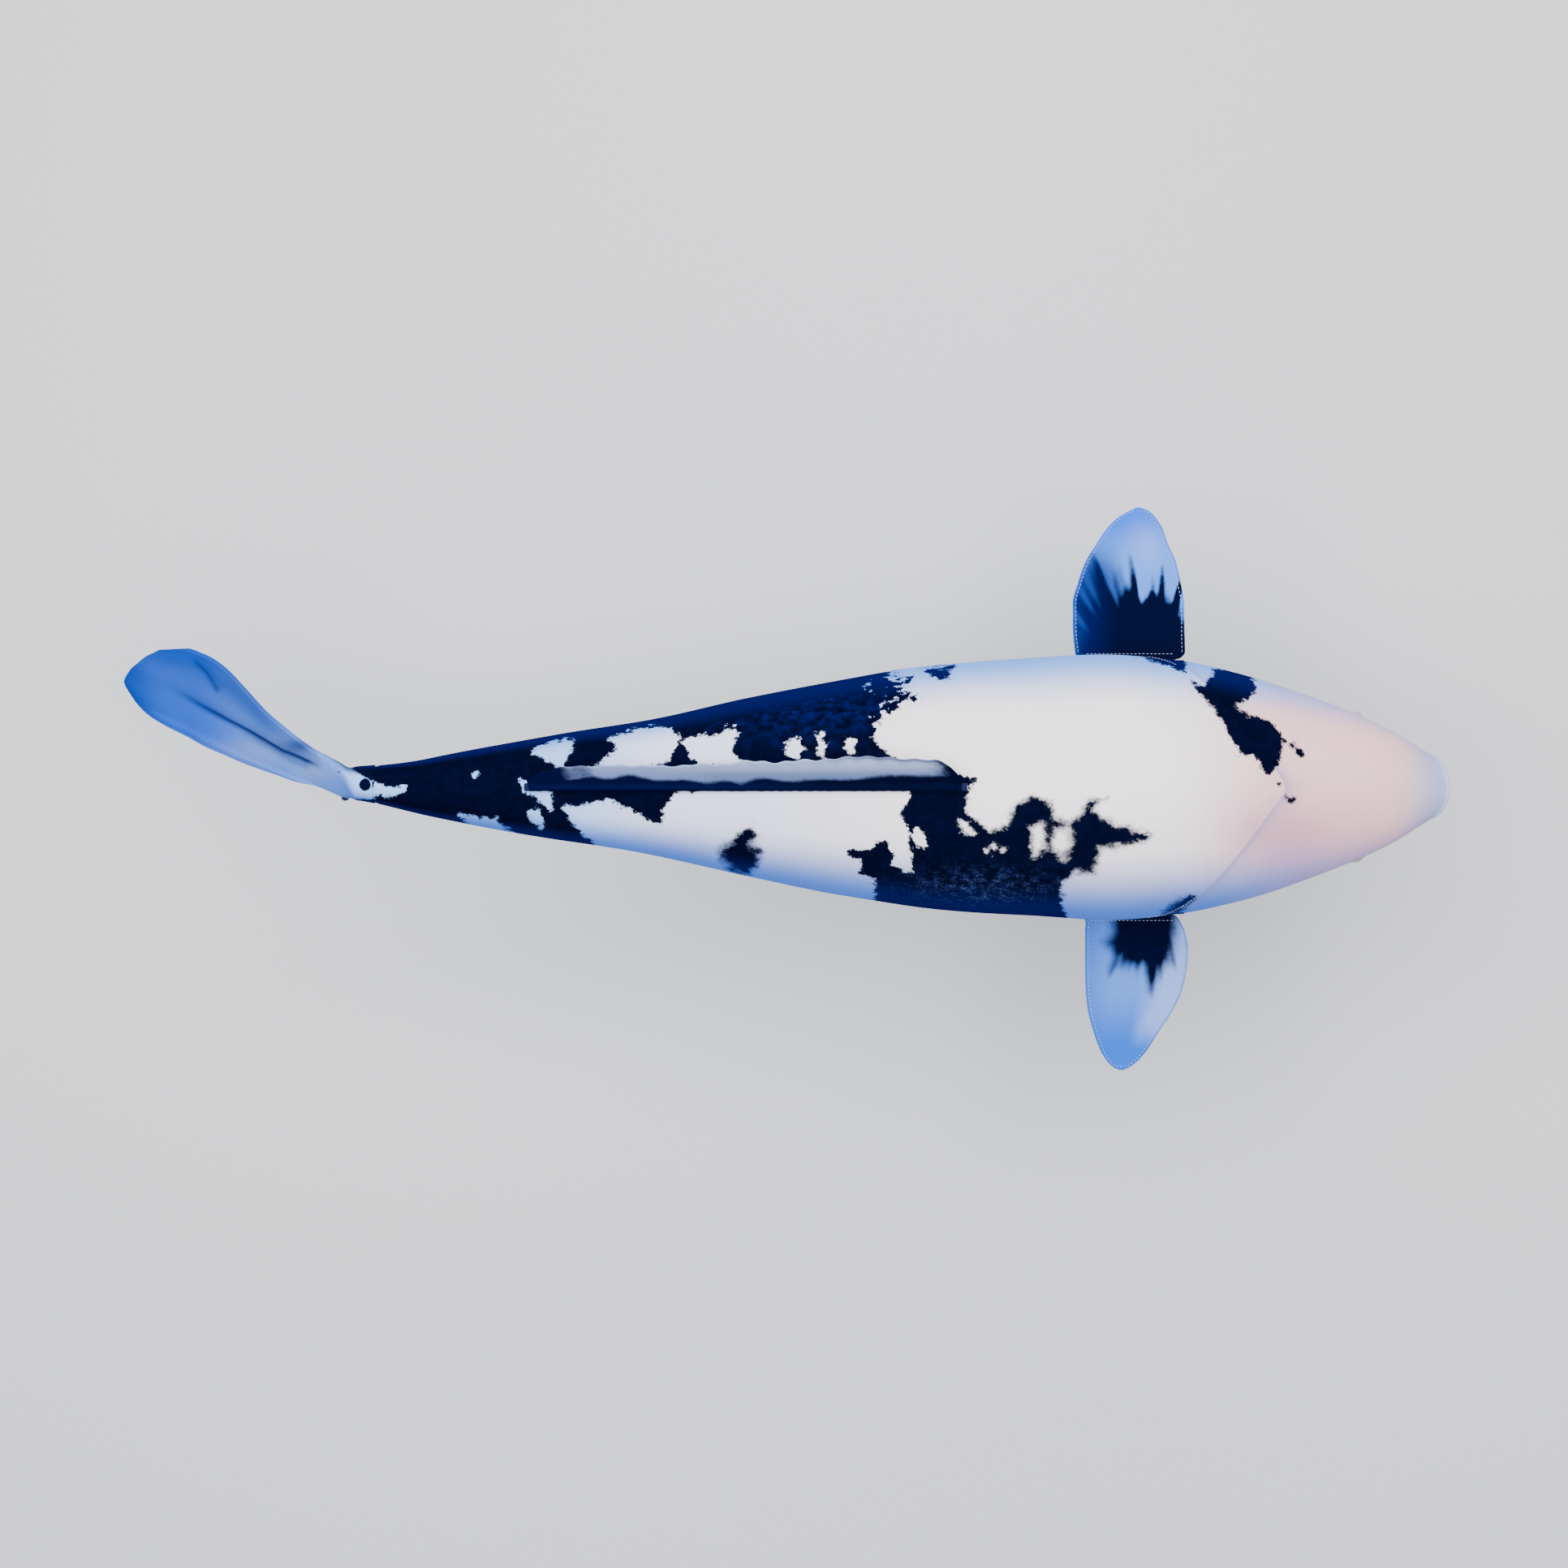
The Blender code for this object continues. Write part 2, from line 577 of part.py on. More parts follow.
def dorsal_place():
    """The hinge line on the back seam: a straight line that rests on the highest of the skin below it."""
    front, rear = WAIST_AT + DORSAL_MARGIN_FRONT, REAR_AT - DORSAL_MARGIN_REAR
    first, last = skin(front, BACK), skin(rear, BACK)
    along = (first - last).normalized()
    up = Vector((-along.z, 0, along.x))
    crown = max((skin(front + (rear - front) * k / 16, BACK) - first).dot(up) for k in range(17))
    centre = (first + last) / 2 + up * (crown + SLEEVE_RADIUS + 2 * SEAM_GAP)
    lean = up * math.cos(DORSAL_LEAN) + Vector((0, 1, 0)) * math.sin(DORSAL_LEAN)
    return frame_on(centre, along, lean), (first - last).length


def dorsal_fin():
    place, length = dorsal_place()
    root = length - 2 * (LOOP_LENGTH + SEAM_GAP)
    start = SLEEVE_BORE + SLEEVE_WALL / 2
    shoulder = SLEEVE_RADIUS + RUNNING_GAP + 0.002
    ends = root / 2 - SEAM_GAP
    upper = curved_outline([(root * (0.5 - p), max(start + q * DORSAL_HEIGHT, shoulder + 0.002))
                            for p, q in DORSAL_FIN], per_span=3)
    outline = ([Vector((ends, start)), Vector((ends, shoulder))] + upper
               + [Vector((-ends + 0.004, shoulder)), Vector((-ends + 0.004, start))])
    hinged_fin("dorsal", outline, place, root, INK_FABRIC)
    side = -(FIN_FABRIC / 2 + SEAM_GAP + BATTEN_RADIUS)
    for name, share in (("dorsal_front_batten", 0.16), ("dorsal_middle_batten", 0.5), ("dorsal_rear_batten", 0.84)):
        x = root * (0.5 - share)
        rod(name, FIBREGLASS, [place @ Vector((x, SLEEVE_RADIUS + 0.003, side)),
                               place @ Vector((x - 0.006, 0.86 * DORSAL_HEIGHT, side))], BATTEN_RADIUS, sides=8)


# ---- Pelvic and anal fins, sewn straight to the skin ---------------------------------------------------------

SMALL_FIN = [(0.48, 0.0), (0.30, 0.45), (-0.10, 0.85), (-0.62, 1.00), (-0.86, 0.86), (-0.70, 0.50), (-0.48, 0.0)]


def sewn_fin(name, look, s, angle, chord, span, lean):
    """A small fin whose root edge follows a straight line just off the skin."""
    front, rear = skin(s, angle), skin(s + chord, angle)
    out = skin_normal(s + chord / 2, angle)
    along = (front - rear).normalized()
    bulge = max((skin(s + chord * k / 6, angle) - front).dot(out - along * out.dot(along)) for k in range(7))
    out = (out - along * out.dot(along)).normalized()
    centre = (front + rear) / 2 + out * (max(bulge, 0) + LIVING_HINGE_GAP)
    place = frame_on(centre, along, out) @ Matrix.Rotation(lean, 4, "X")
    outline = curved_outline([(p * chord, q * span) for p, q in SMALL_FIN])
    flat_fin(name, look, outline, place, thickness=FABRIC * 0.7)


def lower_fins():
    s = WAIST_AT + PELVIC_BEHIND_WAIST
    sewn_fin("left_pelvic_fin", BLUE_FABRIC, s, PELVIC_ANGLE, PELVIC_CHORD, PELVIC_SPAN, 0)
    sewn_fin("right_pelvic_fin", BLUE_FABRIC, s, math.radians(180) - PELVIC_ANGLE, PELVIC_CHORD, PELVIC_SPAN, 0)
    sewn_fin("anal_fin", BLUE_FABRIC, REAR_AT - ANAL_AHEAD_OF_REAR - ANAL_CHORD / 2, -BACK,
             ANAL_CHORD, ANAL_SPAN, 0)


# ---- Tail fin -------------------------------------------------------------------------------------------------

# Share of the way along an edge, then how far that edge has run back and left, as shares of the tail's length,
# and up or down, as a share of the lobe's height.
UPPER_LOBE = [(0.00, 0.000, 0.000, 0.000), (0.12, 0.094, 0.081, 0.147), (0.32, 0.294, 0.247, 0.426),
              (0.50, 0.424, 0.388, 0.618), (0.72, 0.560, 0.506, 0.760), (1.00, 0.700, 0.540, 0.800)]
LOWER_LOBE = [(0.00, 0.000, 0.000, 0.000), (0.12, 0.094, 0.019, -0.132), (0.32, 0.294, 0.076, -0.353),
              (0.50, 0.494, 0.141, -0.544), (0.72, 0.735, 0.247, -0.720), (1.00, 0.985, 0.450, -0.650)]


def lobe_edge(table):
    along = [row[0] for row in table]
    back, left, up = (smooth_through(along, [row[k] for row in table]) for k in (1, 2, 3))
    return lambda u: Vector((-TAIL_LENGTH * back(u), TAIL_LENGTH * left(u), TAIL_LOBE_HEIGHT * up(u)))


UPPER_EDGE, LOWER_EDGE = lobe_edge(UPPER_LOBE), lobe_edge(LOWER_LOBE)


def tail_place():
    """The hinge pin behind the stalk's end: X along the pin, Y backwards along the fin."""
    pin = Vector((0, math.sin(TAIL_ROLL), math.cos(TAIL_ROLL)))
    centre = Vector((-BODY_LENGTH - SLEEVE_RADIUS - 2 * SEAM_GAP, shift_left(BODY_LENGTH), centre_height(BODY_LENGTH)))
    back = Vector((-math.cos(TAIL_SWEEP), math.sin(TAIL_SWEEP), 0))
    return frame_on(centre, pin, back)


def tail_point(u, v, place):
    """The tail fin's surface: u from root to trailing edge, v from the lower lobe (-1) to the upper (1)."""
    start = SLEEVE_BORE + SLEEVE_WALL / 2
    clear = SLEEVE_RADIUS + 0.004
    root = place @ Vector((v * (TAIL_ROOT_HALF - SEAM_GAP), start + (clear - start) * min(u / 0.04, 1), 0))
    beyond = max(u - 0.04, 0) / 0.96
    spread = LOWER_EDGE(beyond).lerp(UPPER_EDGE(beyond), (v + 1) / 2)
    fill = TAIL_FILL * (1 - v * v) * eased(beyond * 1.6)
    return root + spread + Vector((-0.4 * fill, fill, 0))


def tail_fin():
    place = tail_place()
    root = 2 * TAIL_ROOT_HALF
    reach = TAIL_ROOT_HALF + LOOP_LENGTH + SEAM_GAP
    rod("tail_hinge_pin", FIBREGLASS, [place @ Vector((x, 0, 0)) for x in (-reach, reach)], ROD_RADIUS)
    hinge_loops(["tail_upper_loop", "tail_lower_loop"], WEBBING, place, root + 2 * SEAM_GAP)
    rows, columns = 13, 11
    steps = [0, 0.04] + [0.04 + 0.96 * k / (rows - 2) for k in range(1, rows - 1)]
    grid = [[tail_point(u, 2 * j / (columns - 1) - 1, place) for j in range(columns)] for u in steps]
    work = bmesh.new()
    verts = [[work.verts.new(p) for p in row] for row in grid]
    for i in range(rows - 1):
        for j in range(columns - 1):
            work.faces.new((verts[i][j], verts[i][j + 1], verts[i + 1][j + 1], verts[i + 1][j]))
    membrane = add("tail_membrane", mesh_from(work, "tail_membrane"), BLUE_FABRIC)
    thick = membrane.modifiers.new("fabric", "SOLIDIFY")
    thick.thickness = FIN_FABRIC
    thick.offset = 0
    join(membrane, turned("tail_sleeve", BLUE_FABRIC, sleeve_profile(root), about_x(place), sides=16))
    for name, edge in (("tail_upper_spar", 0.86), ("tail_lower_spar", -0.86)):
        line = []
        for k in range(9):
            u = 0.08 + 0.84 * k / 8
            here = tail_point(u, edge, place)
            along = tail_point(u + 0.02, edge, place) - here
            across = tail_point(u, edge + 0.02, place) - here
            line.append(here + across.cross(along).normalized() * (FIN_FABRIC / 2 + 2 * SEAM_GAP + BATTEN_RADIUS))
        rod(name, FIBREGLASS, line, BATTEN_RADIUS, sides=8)


mouth()
body()
hoops()
eyes()
pectoral_fins()
dorsal_fin()
lower_fins()
tail_fin()
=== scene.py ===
# %% [markdown]
# # A wind-filled carp streamer
# The streamer is a fish sewn from thin fabric. Wind fills it through a ring in its mouth, light hoops hold
# its body open, and its fins and tail swing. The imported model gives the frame: where each piece is and how it
# moves. This lesson dresses that frame: the printed skin first, then the fins, the tail, the trim, the light
# and the camera.

# %% Load the frame
import json
import math

import bpy
import numpy as np
from mathutils import Matrix, Vector


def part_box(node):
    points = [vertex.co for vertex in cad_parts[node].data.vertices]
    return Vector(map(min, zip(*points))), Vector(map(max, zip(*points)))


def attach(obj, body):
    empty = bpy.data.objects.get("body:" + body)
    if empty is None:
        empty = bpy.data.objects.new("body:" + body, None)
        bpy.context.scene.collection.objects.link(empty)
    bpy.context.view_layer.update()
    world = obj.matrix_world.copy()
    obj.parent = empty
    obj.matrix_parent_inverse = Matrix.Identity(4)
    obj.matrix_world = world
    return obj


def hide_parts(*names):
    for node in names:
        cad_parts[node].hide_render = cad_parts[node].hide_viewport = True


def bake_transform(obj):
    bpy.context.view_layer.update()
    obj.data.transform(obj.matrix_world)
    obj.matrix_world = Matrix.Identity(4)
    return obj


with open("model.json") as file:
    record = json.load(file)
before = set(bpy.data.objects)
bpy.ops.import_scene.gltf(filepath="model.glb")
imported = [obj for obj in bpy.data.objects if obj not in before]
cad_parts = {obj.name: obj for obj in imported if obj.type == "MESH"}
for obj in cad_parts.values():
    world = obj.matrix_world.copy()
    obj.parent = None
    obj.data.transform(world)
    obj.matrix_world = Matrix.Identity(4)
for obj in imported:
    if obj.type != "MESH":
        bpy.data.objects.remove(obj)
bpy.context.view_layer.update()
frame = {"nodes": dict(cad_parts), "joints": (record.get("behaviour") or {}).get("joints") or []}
JOINTS = {joint["name"]: joint for joint in frame["joints"]}
print("joints:", ", ".join(JOINTS))

# %% [markdown]
# ## The body's shape
# A carp's body is a loft: a stack of ovals along a line. Each row below is one oval, with its place along the
# body and its half width, half height and centre height as shares of the largest ones. A monotone cubic runs
# through the rows, so the skin is smooth and never bulges between them. A section near the mouth leans
# forward, as the ring does.

# %% The loft
HALF_WIDTH, HALF_HEIGHT = 0.100, 0.110
BODY_LENGTH = -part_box("stalk_sleeve")[0].x
MOUTH_TILT = math.radians(40)
LEAN_ENDS = 0.127
TAIL_SHIFT = 0.003
PROFILE = [
    (0.000, 0.248, 0.173, 0.000), (0.015, 0.315, 0.227, 0.009), (0.049, 0.475, 0.364, 0.032),
    (0.103, 0.670, 0.573, 0.055), (0.172, 0.855, 0.782, 0.082), (0.234, 0.960, 0.918, 0.100),
    (0.296, 1.000, 0.990, 0.109), (0.370, 0.970, 1.000, 0.114), (0.456, 0.920, 0.927, 0.127),
    (0.542, 0.813, 0.808, 0.150), (0.628, 0.675, 0.686, 0.173), (0.727, 0.498, 0.545, 0.195),
    (0.813, 0.388, 0.427, 0.209), (0.869, 0.308, 0.347, 0.215), (0.909, 0.245, 0.292, 0.219),
    (0.948, 0.180, 0.248, 0.222), (0.975, 0.142, 0.226, 0.225), (1.000, 0.117, 0.209, 0.227)]
WAIST, REAR_BEND, DROOP = (-JOINTS[name]["pos_m"][0] for name in ("body_bend", "rear_bend", "tail_droop"))


def eased(t):
    t = np.clip(t, 0.0, 1.0)
    return t * t * (3 - 2 * t)


def smooth_through(xs, ys):
    """A smooth function of an array, through these points and with no overshoot."""
    xs, ys = np.array(xs, float), np.array(ys, float)
    slopes = np.diff(ys) / np.diff(xs)
    total = slopes[:-1] + slopes[1:]
    total[total == 0] = 1
    inner = np.where(slopes[:-1] * slopes[1:] > 0, 2 * slopes[:-1] * slopes[1:] / total, 0)
    tangents = np.concatenate([slopes[:1], inner, slopes[-1:]])

    def value(x):
        x = np.asarray(x, float)
        i = np.clip(np.searchsorted(xs, x, side="right") - 1, 0, len(xs) - 2)
        width = xs[i + 1] - xs[i]
        t = np.clip((x - xs[i]) / width, 0, 1)
        return (ys[i] * (1 + 2 * t) * (1 - t) ** 2 + tangents[i] * width * t * (1 - t) ** 2
                + ys[i + 1] * t * t * (3 - 2 * t) + tangents[i + 1] * width * t * t * (t - 1))
    return value


def curves_through(table, scale=1.0):
    """One smooth function for each column of a table after its first."""
    columns = [np.array(column) * scale for column in zip(*table)]
    return [smooth_through(columns[0], column) for column in columns[1:]]


SHARES = curves_through(PROFILE)


def half_width(s):
    return HALF_WIDTH * SHARES[0](s / BODY_LENGTH)


def half_height(s):
    return HALF_HEIGHT * SHARES[1](s / BODY_LENGTH)


def centre_height(s):
    return HALF_HEIGHT * SHARES[2](s / BODY_LENGTH)


def shift_left(s):
    return TAIL_SHIFT * eased((s - DROOP) / (BODY_LENGTH - DROOP))


def skin(s, angle, out=0.0):
    """Points of the skin, s behind the mouth; angle 0 is the left flank and 90 degrees the back."""
    up = (half_height(s) + out) * np.sin(angle)
    lean = math.tan(MOUTH_TILT) * (1 - eased(s / LEAN_ENDS))
    side = shift_left(s) + (half_width(s) + out) * np.cos(angle)
    return np.stack(np.broadcast_arrays(lean * up - s, side, centre_height(s) + up), axis=-1)


print(f"body {BODY_LENGTH:.3f} m long, {2 * HALF_WIDTH:.3f} m wide, {2 * HALF_HEIGHT:.3f} m tall")

# %% [markdown]
# ## Cloth from a grid
# Cloth has two faces and an edge, so each sheet here is a thin closed solid: a grid of points for the
# outside, the same grid moved in by the cloth's thickness, and a strip round the edge. A Solidify modifier
# could do it, but this way the print's values are carried on both faces, and the sheet is a plain mesh.

# %% Sheets
CLOTH = 0.0007
MM = 1000.0


def grid_normals(points, around=False):
    """The outward direction at each point of a grid; rows run backwards, columns from left to up."""
    if around:
        points = np.concatenate([points[:, -1:], points, points[:, :1]], axis=1)
    normal = np.cross(np.gradient(points, axis=0), np.gradient(points, axis=1))
    normal /= np.maximum(np.linalg.norm(normal, axis=-1, keepdims=True), 1e-12)
    return normal[:, 1:-1] if around else normal


def grid_faces(rows, columns, first=0, flip=False, around=False):
    i, j = np.meshgrid(np.arange(rows - 1), np.arange(columns if around else columns - 1), indexing="ij")
    k = (j + 1) % columns
    corners = [i * columns + j, (i + 1) * columns + j, (i + 1) * columns + k, i * columns + k]
    quads = np.stack(corners, axis=-1).reshape(-1, 4) + first
    return quads[:, ::-1] if flip else quads


def edge_strip(loop, shift, flip=False):
    """The faces that join a closed loop of points to the same loop, that many points further on."""
    loop = np.array(loop)
    after = np.roll(loop, -1)
    quads = np.stack([loop, after, after + shift, loop + shift], axis=-1)
    return quads[:, ::-1] if flip else quads


def end_cap(columns, first=0, flip=False):
    """Closes a flattened ring of points by joining each point to the one facing it."""
    quads = [(first + k + 1, first + k, first + (columns - k) % columns, first + columns - k - 1)
             for k in range(columns // 2)]
    return [quad[::-1] if flip else quad for quad in quads]


print("the cloth is", CLOTH * MM, "mm thick")

# %% [markdown]
# A piece is one mesh, made from closed shells. Its print values become attributes of its points, and each
# point also stores its place at rest, so noise in a material stays with the cloth when it bends.


def add_object(name, mesh):
    made = bpy.data.objects.new(name, mesh)
    bpy.context.scene.collection.objects.link(made)
    return made


def store(mesh, key, kind, field, values):
    """Stores one value for each point of a mesh."""
    mesh.attributes.new(key, kind, "POINT").data.foreach_set(field, values.astype(np.float32).ravel())


def make_piece(name, shells, sharp=48):
    """One mesh from shells of (points, faces, values); every shell is closed and faces outwards."""
    mesh = bpy.data.meshes.new(name)
    points = np.concatenate([shell[0] for shell in shells])
    faces, first = [], 0
    for place, quads, _ in shells:
        faces += [[corner + first for corner in dict.fromkeys(int(c) for c in quad)] for quad in quads]
        first += len(place)
    mesh.from_pydata(points.tolist(), [], faces)
    for key in sorted(set().union(*(shell[2] for shell in shells))):
        value = np.concatenate([np.asarray(shell[2][key], float) for shell in shells])
        if value.ndim == 1:
            store(mesh, key, "FLOAT", "value", value)
        elif key == "cloth_uv":
            corner = np.zeros(len(mesh.loops), np.int32)
            mesh.loops.foreach_get("vertex_index", corner)
            mesh.uv_layers.new(name=key).data.foreach_set("uv", value[corner].astype(np.float32).ravel())
        else:
            opaque = np.ones((len(value), 1))
            store(mesh, key, "FLOAT_COLOR", "color", np.concatenate([value, opaque], axis=1))
    store(mesh, "rest", "FLOAT_VECTOR", "vector", points)
    mesh.shade_smooth()
    mesh.set_sharp_from_angle(angle=math.radians(sharp))
    mesh.update()
    return add_object(name, mesh)


def dress(piece, material, settle, replaced):
    """Gives a piece its material, what it moves with and the frame's pieces it stands for."""
    piece.data.materials.append(material)
    settle(piece)
    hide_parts(*replaced)


def ride_on(body):
    return lambda piece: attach(piece, body)


def bend_between():
    """For cloth that crosses the bend between two bodies: its place is baked into its points, and it rides on
    neither body.
    """
    return lambda piece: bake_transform(piece)


on_waist = bend_between()
on_rear = bend_between()
on_droop = bend_between()


def area_of(points, around=False):
    if around:
        points = np.concatenate([points, points[:, :1]], axis=1)
    along, across = np.diff(points, axis=0)[:, :-1], np.diff(points, axis=1)[:-1]
    return float(np.linalg.norm(np.cross(along, across), axis=-1).sum())


def run(points):
    """The distance along a row of points, from its first."""
    return np.concatenate([[0], np.cumsum(np.linalg.norm(np.diff(points, axis=0), axis=-1))])


def cloth_shell(outer, inner, values, around=False):
    """A closed shell from two grids of points, with the same print on both faces."""
    rows, columns = outer.shape[:2]
    count = rows * columns
    faces = [grid_faces(rows, columns, around=around),
             grid_faces(rows, columns, count, flip=True, around=around)]
    top, bottom = list(range(columns)), list(range(count - columns, count))
    if around:
        faces += [edge_strip(top, count), edge_strip(bottom, count, flip=True)]
    else:
        right, left = list(range(columns - 1, count, columns)), list(range(0, count, columns))
        faces.append(edge_strip(top[:-1] + right[:-1] + bottom[:0:-1] + left[:0:-1], count))
    along, across = np.meshgrid(run(outer[:, columns // 2]), run(outer[rows // 2]), indexing="ij")
    values = dict(values, cloth_uv=np.stack([along, across], axis=-1))
    both = {}
    for key, value in values.items():
        flat = np.broadcast_to(value, outer.shape[:2] + value.shape[2:]).reshape((count,) + value.shape[2:])
        both[key] = np.concatenate([flat, flat])
    return np.concatenate([outer.reshape(-1, 3), inner.reshape(-1, 3)]), np.concatenate(faces), both


def declare(piece, wide, long, area, rests_on, with_pieces=()):
    wide = max(wide, area / long)
    print(f"{piece.name}: cut {wide:.3f} x {long:.3f} m, {area * 1e4:.0f} cm2")

print("bends at", ", ".join(f"{bend:.3f}" for bend in (WAIST, REAR_BEND, DROOP)), "m behind the mouth")

# %% [markdown]
# ## The print
# The fish's pattern is printed on the cloth, so it has to stay with the cloth when the body bends. An image
# would do it, but a drawn outline is sharper and can be changed: each patch is a closed outline in
# millimetres, seen from above, with the distance behind the mouth first and the distance to the left second.
# Each point of the cloth stores how far inside the nearest outline it is, and the material turns that
# distance into ink with ragged edges.

# %% Patches seen from above, in millimetres
INK_PATCHES = {
    "rear": [(400, 260), (399, 87), (387, 83), (390, 75), (379, 67), (399, 57), (413, 47), (416, 37),
             (407, 24), (388, 20), (375, 9), (388, 0), (473, 1), (561, -3), (573, -12), (578, -28),
             (592, -21), (607, -15), (616, -9), (635, -13), (651, -15), (647, -23), (638, -34),
             (627, -43), (624, -55), (628, -260), (905, -260), (905, 260)],
    "saddle": [(388, 2), (378, 10), (353, 10), (337, 6), (345, -2), (347, -14), (339, -26), (329, -33),
               (317, -29), (311, -16), (296, -6), (284, -12), (278, -22), (270, -26), (262, -20),
               (255, -10), (241, -8), (251, -18), (235, -27), (205, -35), (211, -41), (245, -47),
               (251, -65), (264, -65), (272, -73), (274, -88), (262, -120), (262, -260), (420, -260),
               (416, -80), (417, -70), (427, -64), (427, -55), (436, -53), (436, -47), (419, -47),
               (416, -40), (408, -40), (402, -46), (401, -58), (393, -64), (388, -61), (390, -43),
               (391, -28), (396, -18), (390, -6)],
    "drop": [(535, -47), (525, -40), (517, -32), (509, -30), (505, -37), (508, -43), (500, -49),
             (503, -55), (505, -61), (512, -67), (525, -64), (531, -55)],
    "gill": [(177, 80), (168, 77), (160, 88), (149, 92), (131, 88), (129, 72), (134, 66), (142, 63),
             (141, 58), (130, 53), (117, 50), (108, 37), (110, 22), (118, 6), (125, 18), (134, 25),
             (141, 25), (146, 34), (155, 51), (163, 60), (171, 70)],
    "fleck": [(382, 88), (370, 91), (355, 92), (359, 82), (366, 80), (374, 84)],
    "fin_root": [(181, 86), (188, 88), (198, 92), (210, 96), (222, 120), (176, 120), (181, 95)],
    "smudge": [(204, -101), (193, -88), (178, -80), (175, -83), (184, -93), (182, -103)],
}
BARE_PATCHES = {
    "wedge": [(769, -1), (780, 0), (789, 1.5), (795, 6), (802, 10), (815, 15), (836, 33), (836, -6),
              (817, -5), (806, -6.5), (792, -6), (780, -3)],
    "rear_1": [(676, 26), (668, 31), (651, 37), (642, 35), (644, 28), (648, 23), (650, 15), (662, 18)],
    "rear_2": [(627, 17), (610, 28), (615, 37), (607, 41), (592, 44), (580, 45), (570, 43), (564, 37),
               (566, 28), (573, 18), (586, 15), (607, 13)],
    "rear_3": [(561, 34), (549, 40), (541, 37), (534, 40), (528, 44), (522, 43), (523, 35), (525, 28),
               (518, 21), (512, 18), (537, 17), (549, 18), (555, 24)],
    "rear_4": [(483, 29), (479, 34), (473, 34), (469, 29), (474, 23), (480, 24)],
    "rear_5": [(457, 38), (454, 36), (454, 23), (458, 24)],
    "rear_6": [(438, 37), (431, 36), (433, 24), (437, 25)],
    "saddle_1": [(384, -31), (376, -39), (377, -45), (384, -46), (388, -39)],
    "saddle_2": [(353, -23), (344, -26), (341, -35), (351, -35)],
    "saddle_3": [(298, -31), (289, -29), (288, -45), (296, -51)],
    "saddle_4": [(280, -33), (270, -31), (269, -43), (274, -53), (280, -45)],
    "loop": [(682, 6), (674, 2), (668, 3), (662, -2), (658, -8), (661, -18), (665, -12), (671, -8),
             (679, -5)],
    "spot": [(677, -18), (671, -16), (665, -23), (666, -31), (673, -28)],
    "low_edge": [(729, -21), (720, -20), (713, -24), (702, -23), (696, -29), (684, -38), (702, -36),
                 (720, -30)],
    "stalk": [(850, 9), (818, 11), (800, 6), (781, -2), (769, 1), (771, -3), (784, -8), (806, -9), (850, -6)],
}
BARE_DOTS = [(717, 10, 2.2), (326, -45, 1.6), (331, -49, 1.2), (319, -48, 1.2)]
INK_DOTS = [(96, 27, 3.3), (101, 31, 2.0), (107, 35, 1.6), (102, -10, 3.2), (106, -7, 2.2), (111, 2, 1.8),
            (118, -10, 1.2), (94, 24, 1.4), (797, 2, 4.6)]
# Where the ink's edge is softer than elsewhere: the place, its radii, and how soft it is there.
SOFT_SPOTS = [
    ((272, -30), (80, 34), 4.5), ((150, 60), (30, 40), 2.0), ((260, -45), (62, 45), 5.0),
    ((520, -52), (30, 22), 5.5), ((190, -92), (24, 16), 5.0), ((100, 30), (14, 12), 2.4),
    ((100, -10), (14, 12), 2.4), ((680, -30), (40, 14), 1.5), ((140, 60), (60, 45), 1.2)]


print(len(INK_PATCHES), "ink patches,", len(BARE_PATCHES), "bare patches in them")

# %% [markdown]
# A point's depth in the ink is its distance inside the nearest patch, less where a bare patch is cut out. On
# the flanks the ink ends in drips at a ragged line, and towards the tail it goes right round.

# %% How deep in the ink a point is


def inside_by(outline, s, q):
    """How far inside a closed outline each point is, in millimetres; outside counts as negative."""
    corners = np.array(outline, float)
    if s.min() > corners[:, 0].max() + 40 or s.max() < corners[:, 0].min() - 40:
        return np.full(s.shape, -40.0)
    nearest = np.full(s.shape, 1e9)
    inside = np.zeros(s.shape, bool)
    for (x0, y0), (x1, y1) in zip(corners, np.roll(corners, -1, axis=0)):
        dx, dy = x1 - x0, y1 - y0
        t = np.clip(((s - x0) * dx + (q - y0) * dy) / (dx * dx + dy * dy), 0, 1)
        nearest = np.minimum(nearest, (s - x0 - t * dx) ** 2 + (q - y0 - t * dy) ** 2)
        if dy:
            crosses = (q < y0) != (q < y1)
            inside ^= crosses & (s < x0 + (q - y0) / dy * dx)
    return np.where(inside, 1, -1) * np.sqrt(nearest)


def deepest(outlines, dots, s, q):
    depths = [inside_by(outline, s, q) for outline in outlines]
    depths += [dot[2] - np.hypot(s - dot[0], q - dot[1]) for dot in dots]
    return np.max(depths, axis=0)


def spread(s, q, centre, radii):
    """A soft round patch: 1 at its centre, fading to 0."""
    return np.exp(-((s - centre[0]) / radii[0]) ** 2 - ((q - centre[1]) / radii[1]) ** 2)


def body_ink(s, q, below):
    """Ink depth on the body; below is how far under its widest line a point is. All in millimetres."""
    depth = deepest(INK_PATCHES.values(), [], s, q)
    depth = np.minimum(depth, -deepest(BARE_PATCHES.values(), BARE_DOTS, s, q))
    ragged = 11 * np.sin(s / 19 + 1) + 6 * np.sin(s / 8.3) + 4 * np.sin(s / 4.1 + 2)
    reach = 24 + ragged + 260 * eased((s - 560) / 140)
    depth = np.minimum(depth, reach - below)
    dots = deepest([], INK_DOTS, s, q)
    return np.maximum(depth, np.where(dots > -3, dots * 1.6, dots))


print("ink at the saddle", body_ink(np.array(300.0), np.array(-20.0), 0.0).round(1), "mm deep")
